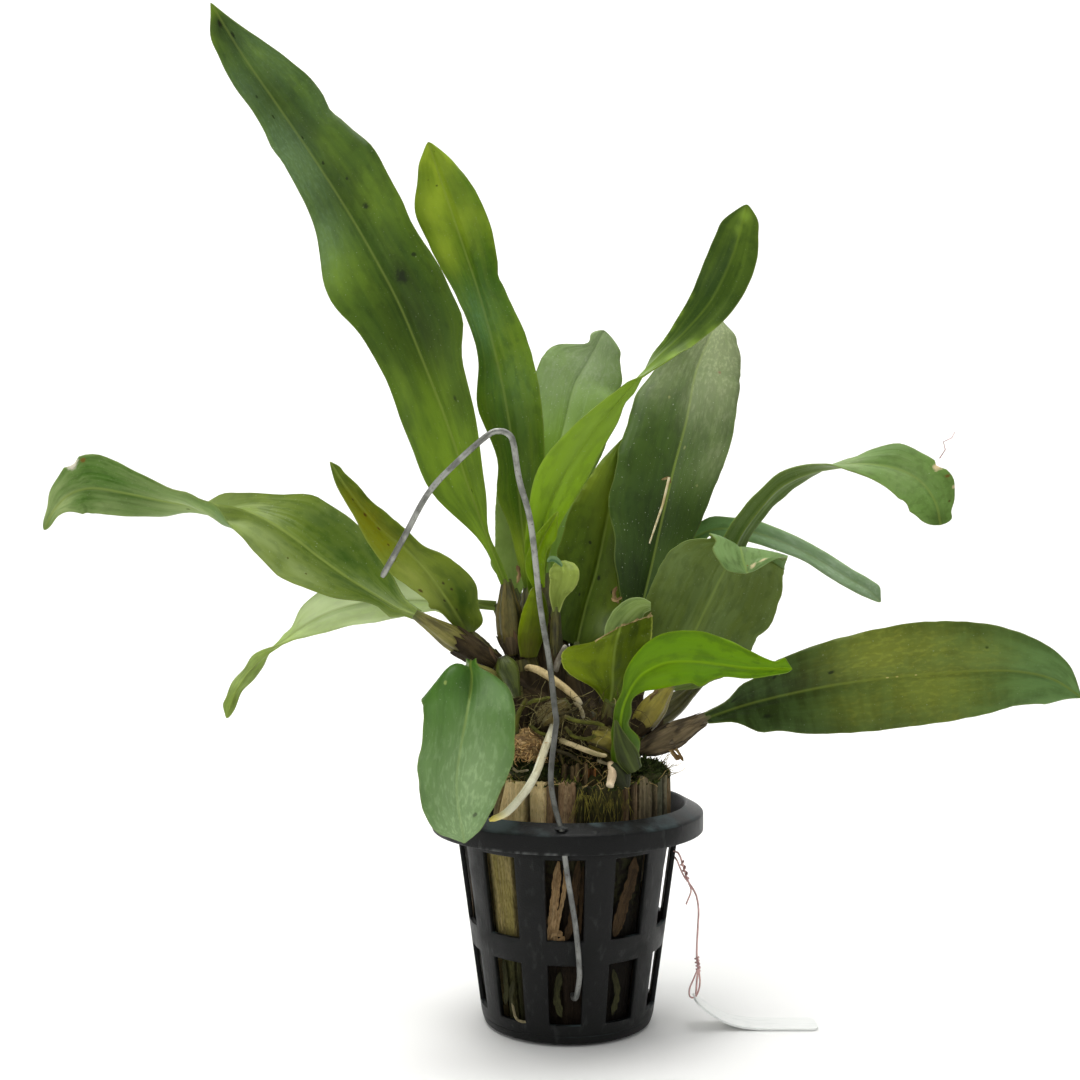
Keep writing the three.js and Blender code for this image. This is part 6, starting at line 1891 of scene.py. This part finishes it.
# the straw on the dark leaf
strawScrap = [(32.6, 10.4, 168.6), (30.4, 8.6, 160), (27.4, 7, 151.6), (26, 6.2, 147.6)]
strawScrap = [Vector(at) for at in strawScrap]
scraps = dict(
    light=[
        (
            [
                strawScrap[0] + Vector((-2.4, 0, -0.6)), strawScrap[0],
                strawScrap[0] + Vector((0.6, -0.4, -1.6)),
            ],
            0.9, (0, 0, 1),
        ),
        ([(-15.6, -5, 135.6), (-15, -5.4, 138.4), (-15.6, -6, 141)], 1.6, (1, 0, 0)),
        ([(15.4, -9, 129.6), (14, -9.6, 132), (14.8, -10.4, 134.6)], 1.6, (1, 0, 0.4)),
        ([(13.2, -9, 131), (14.6, -9.8, 130.4), (16.4, -10, 131.4)], 1, (0.3, 0, 1)),
        ([(30, -13, 87.4), (31.6, -13.4, 84.6), (33.6, -13, 82.6)], 2.2, (1, 0, 0.6)),
        ([(31, -12.4, 86), (33, -13, 85), (34.8, -12.6, 82)], 1.2, (1, 0, 0.8)),
        ([(22.4, -14, 83.4), (24, -14.6, 82.2), (26, -14.4, 82.6)], 1.6, (0.2, 0, 1)),
        ([(27.4, -9.6, 104.6), (26, -10.4, 101.6), (24.4, -12, 97.6)], 2.2, (1, 0.3, 0.3)),
    ],
    dark=[
        ([(-24, -12.6, 116.4), (-22, -13.4, 113), (-20, -13, 110.4)], 1.4, (0.4, 0.4, 1)),
        ([(-16.6, -7, 121), (-15, -7.6, 116), (-14.4, -7, 112)], 1.6, (1, 0, 0.2)),
        ([(8, -14, 95.6), (6.4, -15.6, 92.4), (6.6, -15.8, 89.6)], 1.6, (1, 0.2, 0)),
    ],
)
scrapLooks = dict(light=("#9a8358", "#5e452a"), dark=("#5c4830", "#2c2116"))
for kind, flakes in scraps.items():
    bm = newPiece()
    for i, (points, width, side) in enumerate(flakes):
        addStrip(bm, points, width * 0.62, 0.2, side, curl=0.4, ragged=0.8, seed=i + 9, rows=22)
    finishPiece(bm, kind + "Scraps", dryPaper(kind + "DryScrap", *scrapLooks[kind]))


greenBits = dict(
    frontKeel=dict(
        path=[(13.4, -28.8, 96.4), (14.8, -29.4, 91), (17.2, -29.4, 85.6), (19.2, -28.6, 81.8)],
        halves=[0.4, 1.6, 2.8, 3.4, 2.4], bend=0.6, skin="#38421a", shade="#222a0d", light="#606f2e",
    ),
    frontFoot=dict(
        path=[(12.8, -26.6, 83.4), (15.4, -28, 80.4), (16.8, -27.6, 76.8)], halves=[0.8, 2.4, 2.8, 1.4],
        bend=0.5, skin="#262b11", shade="#16190a", light="#3c451f",
    ),
    foldLip=dict(
        path=[
            (11.4, -14.6, 116), (14.4, -13.6, 121.4), (18, -13, 126), (21.6, -12.6, 128.8),
            (25, -12.4, 129),
        ],
        halves=[0.6, 3.2, 4.2, 3.6, 1], bend=0.15, skin="#7a9048", shade="#566c30", light="#95a868",
    ),
    youngLip=dict(
        path=[(-6.3, -10.6, 142.4), (-4.4, -11.2, 142.6), (-2, -11, 141)], halves=[0.4, 1.2, 1.2, 0.5],
        bend=0.7, skin="#4c7248", shade="#345236", light="#7f9a66",
    ),
)


def makeGreenBits():
    # small folded sheaths and lips of leaf among the stems
    steps = 30
    for name, look in greenBits.items():
        places, length = followPath(look["path"], steps)
        frames = turnAlong(places, start=(1, 0, 0))

        def place(u, s):
            i = round(s * steps)
            _, side, up = frames[i]
            v = 2 * u - 1
            half = between(look["halves"], s) * (1 + 0.06 * rough(s * length, 3 * v, 5, 2))
            away = up if up.y < 0 else -up
            point = places[i] + side * v * half - away * look["bend"] * half * v * v
            return point, dict(edge=(1 - abs(v)) * half, keel=abs(v) * half)

        bm = newPiece("edge", "keel")
        addGrid(bm, 12, steps, place, (8, length))
        bmesh.ops.solidify(bm, geom=bm.faces[:], thickness=0.5)
        finishPiece(bm, name, sheathSkin(name + "Skin", look), (), 70)


def sheathSkin(name, look):
    # green leaf sheath: waxy, dark between its pale keel and margins
    material, tree, place, masks = startMaterial(name, ["edge", "keel"])
    cloud = patches(tree, place, 4, 0.4, 0.62, stretch=(1, 0.4, 1), detail=4)
    veins = patches(tree, place, 0.9, 0.42, 0.6, stretch=(1, 0.05, 1))
    edge = addNode(tree, "MapRange", {0: masks["edge"], 1: 0.5, 2: 0.15}).outputs[0]
    keel = addNode(tree, "MapRange", {0: masks["keel"], 1: 0.5, 2: 0.1}).outputs[0]
    light = look["light"]
    layers = [(cloud, 0.8, look["shade"]), (veins, 0.06, light), (edge, 0.6, light), (keel, 0.35, light)]
    return finishMaterial(material, layColours(tree, look["skin"], layers), 0.45, 0.2, 0, [(veins, 0.6)], 0.1)


makeGreenBits()


def makeTornEdge():
    # the brown, dried edge where the front leaf was cut
    leaf = dict(leaves["leaf_cut_front"], name="leaf_cut_front")
    last = bladeRows(leaf)[-1]
    points = [onBlade(leaf, last, v / 10, 7) for v in range(-10, 11, 2)]
    bm = newPiece()
    addTube(bm, points, lambda t, angle: 0.34 + 0.2 * rough(t * 30, angle, 1), sides=8, rings=90)
    for i, share in enumerate((0.42, 0.55, 0.7, 0.9)):
        foot = points[int(share * 10)]
        shred = [foot, foot + Vector((0.6, -0.3, 0.7)), foot + Vector((1.6, -0.2, 0.6 + 0.4 * i))]
        addStrip(bm, shred, 0.5, 0.2, (0.6, 0, 0.8), 0.3, 0.8, i)
    finishPiece(bm, "tornEdge", dryPaper("driedLeafEdge", "#9c8a5c", "#6b5a34"))


makeTornEdge()


def fibreMaterial(name, colour, other):
    # single plant fibres: matt, uneven in tone
    material, tree, place, _ = startMaterial(name, surface=False)
    uneven = patches(tree, place, 2.5, 0.42, 0.6)
    return finishMaterial(material, layColours(tree, colour, [(uneven, 0.8, other)]), 0.85, 0.15)


def moundPlace(draw, low, high):
    # a random place on the mound's skin, and the way out from it
    s = draw.uniform(low, high)
    z, radius, shift = [between(column, s) for column in zip(*core["levels"])]
    angle = draw.uniform(0, 2 * math.pi)
    out = Vector((math.cos(angle), math.sin(angle), 0))
    return Vector((shift, 0, z)) + out * radius, out


def chipTop(draw):
    # a random place on the top of the ring of chips
    chip = draw.choice(chips)
    angle = draw.uniform(*chip["span"]) - 90
    high = chip["high"] - 0.6
    radius = chipRadius(high, chip["lean"]) - draw.uniform(0.6, husk["thickness"])
    out = polar(1, angle)
    return Vector((husk["centre"], 0, high)) + out * radius, out


def curvedHair(draw, start, ahead, length, bend, steps=4):
    # a hair that wanders by up to bend at each of its steps
    strand = [start]
    heading = ahead.normalized()
    for _ in range(steps):
        heading = (heading + Vector([draw.uniform(-bend, bend) for _ in range(3)])).normalized()
        strand.append(strand[-1] + heading * length / steps)
    return strand


def randomVector(draw, *ranges):
    # one draw for each pair of ends, in turn; a single number is taken as it is
    return Vector([draw.uniform(*ends) if isinstance(ends, tuple) else ends for ends in ranges])


moss = dict(
    darkMoss=dict(colours=("#3f4a1e", "#262d14"), count=1500, tall=1.6),
    yellowMoss=dict(colours=("#7d7c36", "#4d5526"), count=420, tall=2.2),
)
fibreCounts = dict(onMound=150, onChips=90, overChips=60, amongStems=330, onBark=120)
strayThread = [
    (112.4, -12, 173.4), (114, -12.4, 176), (113.4, -12.6, 178.4), (116, -12.4, 179.6), (117, -12, 181.4),
]
fibreLooks = dict(  # diameter, material, its two colours and its slot
    strawFibres=(0.26, "coirFibre", "#b39c66", "#6f5c36", "husk"),
    mossyFibres=(0.17, "mossyCoirFibre", "#7e7634", "#3f3b1b", "husk"),
    rootHairs=(0.22, "deadRootHair", "#5c5230", "#2a2416", "husk"),
    paleHairs=(0.24, "paleRootHair", "#a39a68", "#5a5232", "husk"),
    barkCurls=(0.34, "rottedBarkFibre", "#edc78a", "#a57c4c", "bark"),
    strawScrap=(0.9, "bleachedStraw", "#e8dcb4", "#c4ad78", "husk"),
    strayThread=(0.34, "redThread", "#a9706a", "#7a4a46", "husk"),
)


def makeMoss():
    draw = random.Random(7)
    for name, look in moss.items():
        strands = []
        for _ in range(look["count"]):
            start, out = moundPlace(draw, 0.76, 0.99) if draw.random() < 0.6 else chipTop(draw)
            lean = randomVector(draw, (-0.7, 0.7), (-0.7, 0.7), 1) + out * 0.4
            length = look["tall"] * draw.uniform(0.6, 1.4)
            strands.append(curvedHair(draw, start - Vector((0, 0, 0.4)), lean, length, 0.5, 2))
        fibrePiece(name, strands, 0.5, fibreMaterial(name + "Shoots", *look["colours"]))


def makeFibres():
    draw = random.Random(11)
    made = {name: [] for name in fibreLooks}
    for _ in range(fibreCounts["onMound"]):
        start, out = moundPlace(draw, 0.7, 0.95)
        ahead = out + randomVector(draw, (-0.6, 0.6), (-0.6, 0.6), 0.5)
        made["strawFibres"].append(curvedHair(draw, start, ahead, draw.uniform(5, 12), 0.35))
    for _ in range(fibreCounts["onChips"]):
        start, out = chipTop(draw)
        ahead = out * 0.7 + randomVector(draw, (-0.8, 0.8), 0, 0.35)
        made["strawFibres"].append(curvedHair(draw, start, ahead, draw.uniform(3, 7), 0.4))
    for _ in range(fibreCounts["overChips"]):
        start = polar(28.6, draw.uniform(-94, -62), draw.uniform(72, 77)) + Vector((husk["centre"], 0, 0))
        fall = randomVector(draw, (-0.5, 0.5), -0.05, -1)
        made["mossyFibres"].append(curvedHair(draw, start, fall, draw.uniform(4, 10), 0.12))
    for i in range(fibreCounts["amongStems"]):
        start = randomVector(draw, (-17, 16), (-19, -8), (83, 102))
        ahead = randomVector(draw, (-1, 1), (-1, 0.2), (-1, 0.6))
        kind = "paleHairs" if i % 4 == 0 else "rootHairs"
        made[kind].append(curvedHair(draw, start, ahead, draw.uniform(5, 13), 0.5, 5))
    for _ in range(fibreCounts["onBark"]):
        start = randomVector(draw, (-16, -8), (-20, -15), (83, 89.6))
        ahead = randomVector(draw, (-1, 1), (-1, 1), (-1, 1))
        made["barkCurls"].append(curvedHair(draw, start, ahead, draw.uniform(3, 7), 0.9, 6))
    made["strawScrap"].append(strawScrap)
    made["strayThread"].append(strayThread)
    for name, (diameter, material, colour, other, slot) in fibreLooks.items():
        fibrePiece(name, made[name], diameter, fibreMaterial(material, colour, other))


makeCushions()
makeMoss()
makeFibres()
print("moss, fibres and scraps ready")
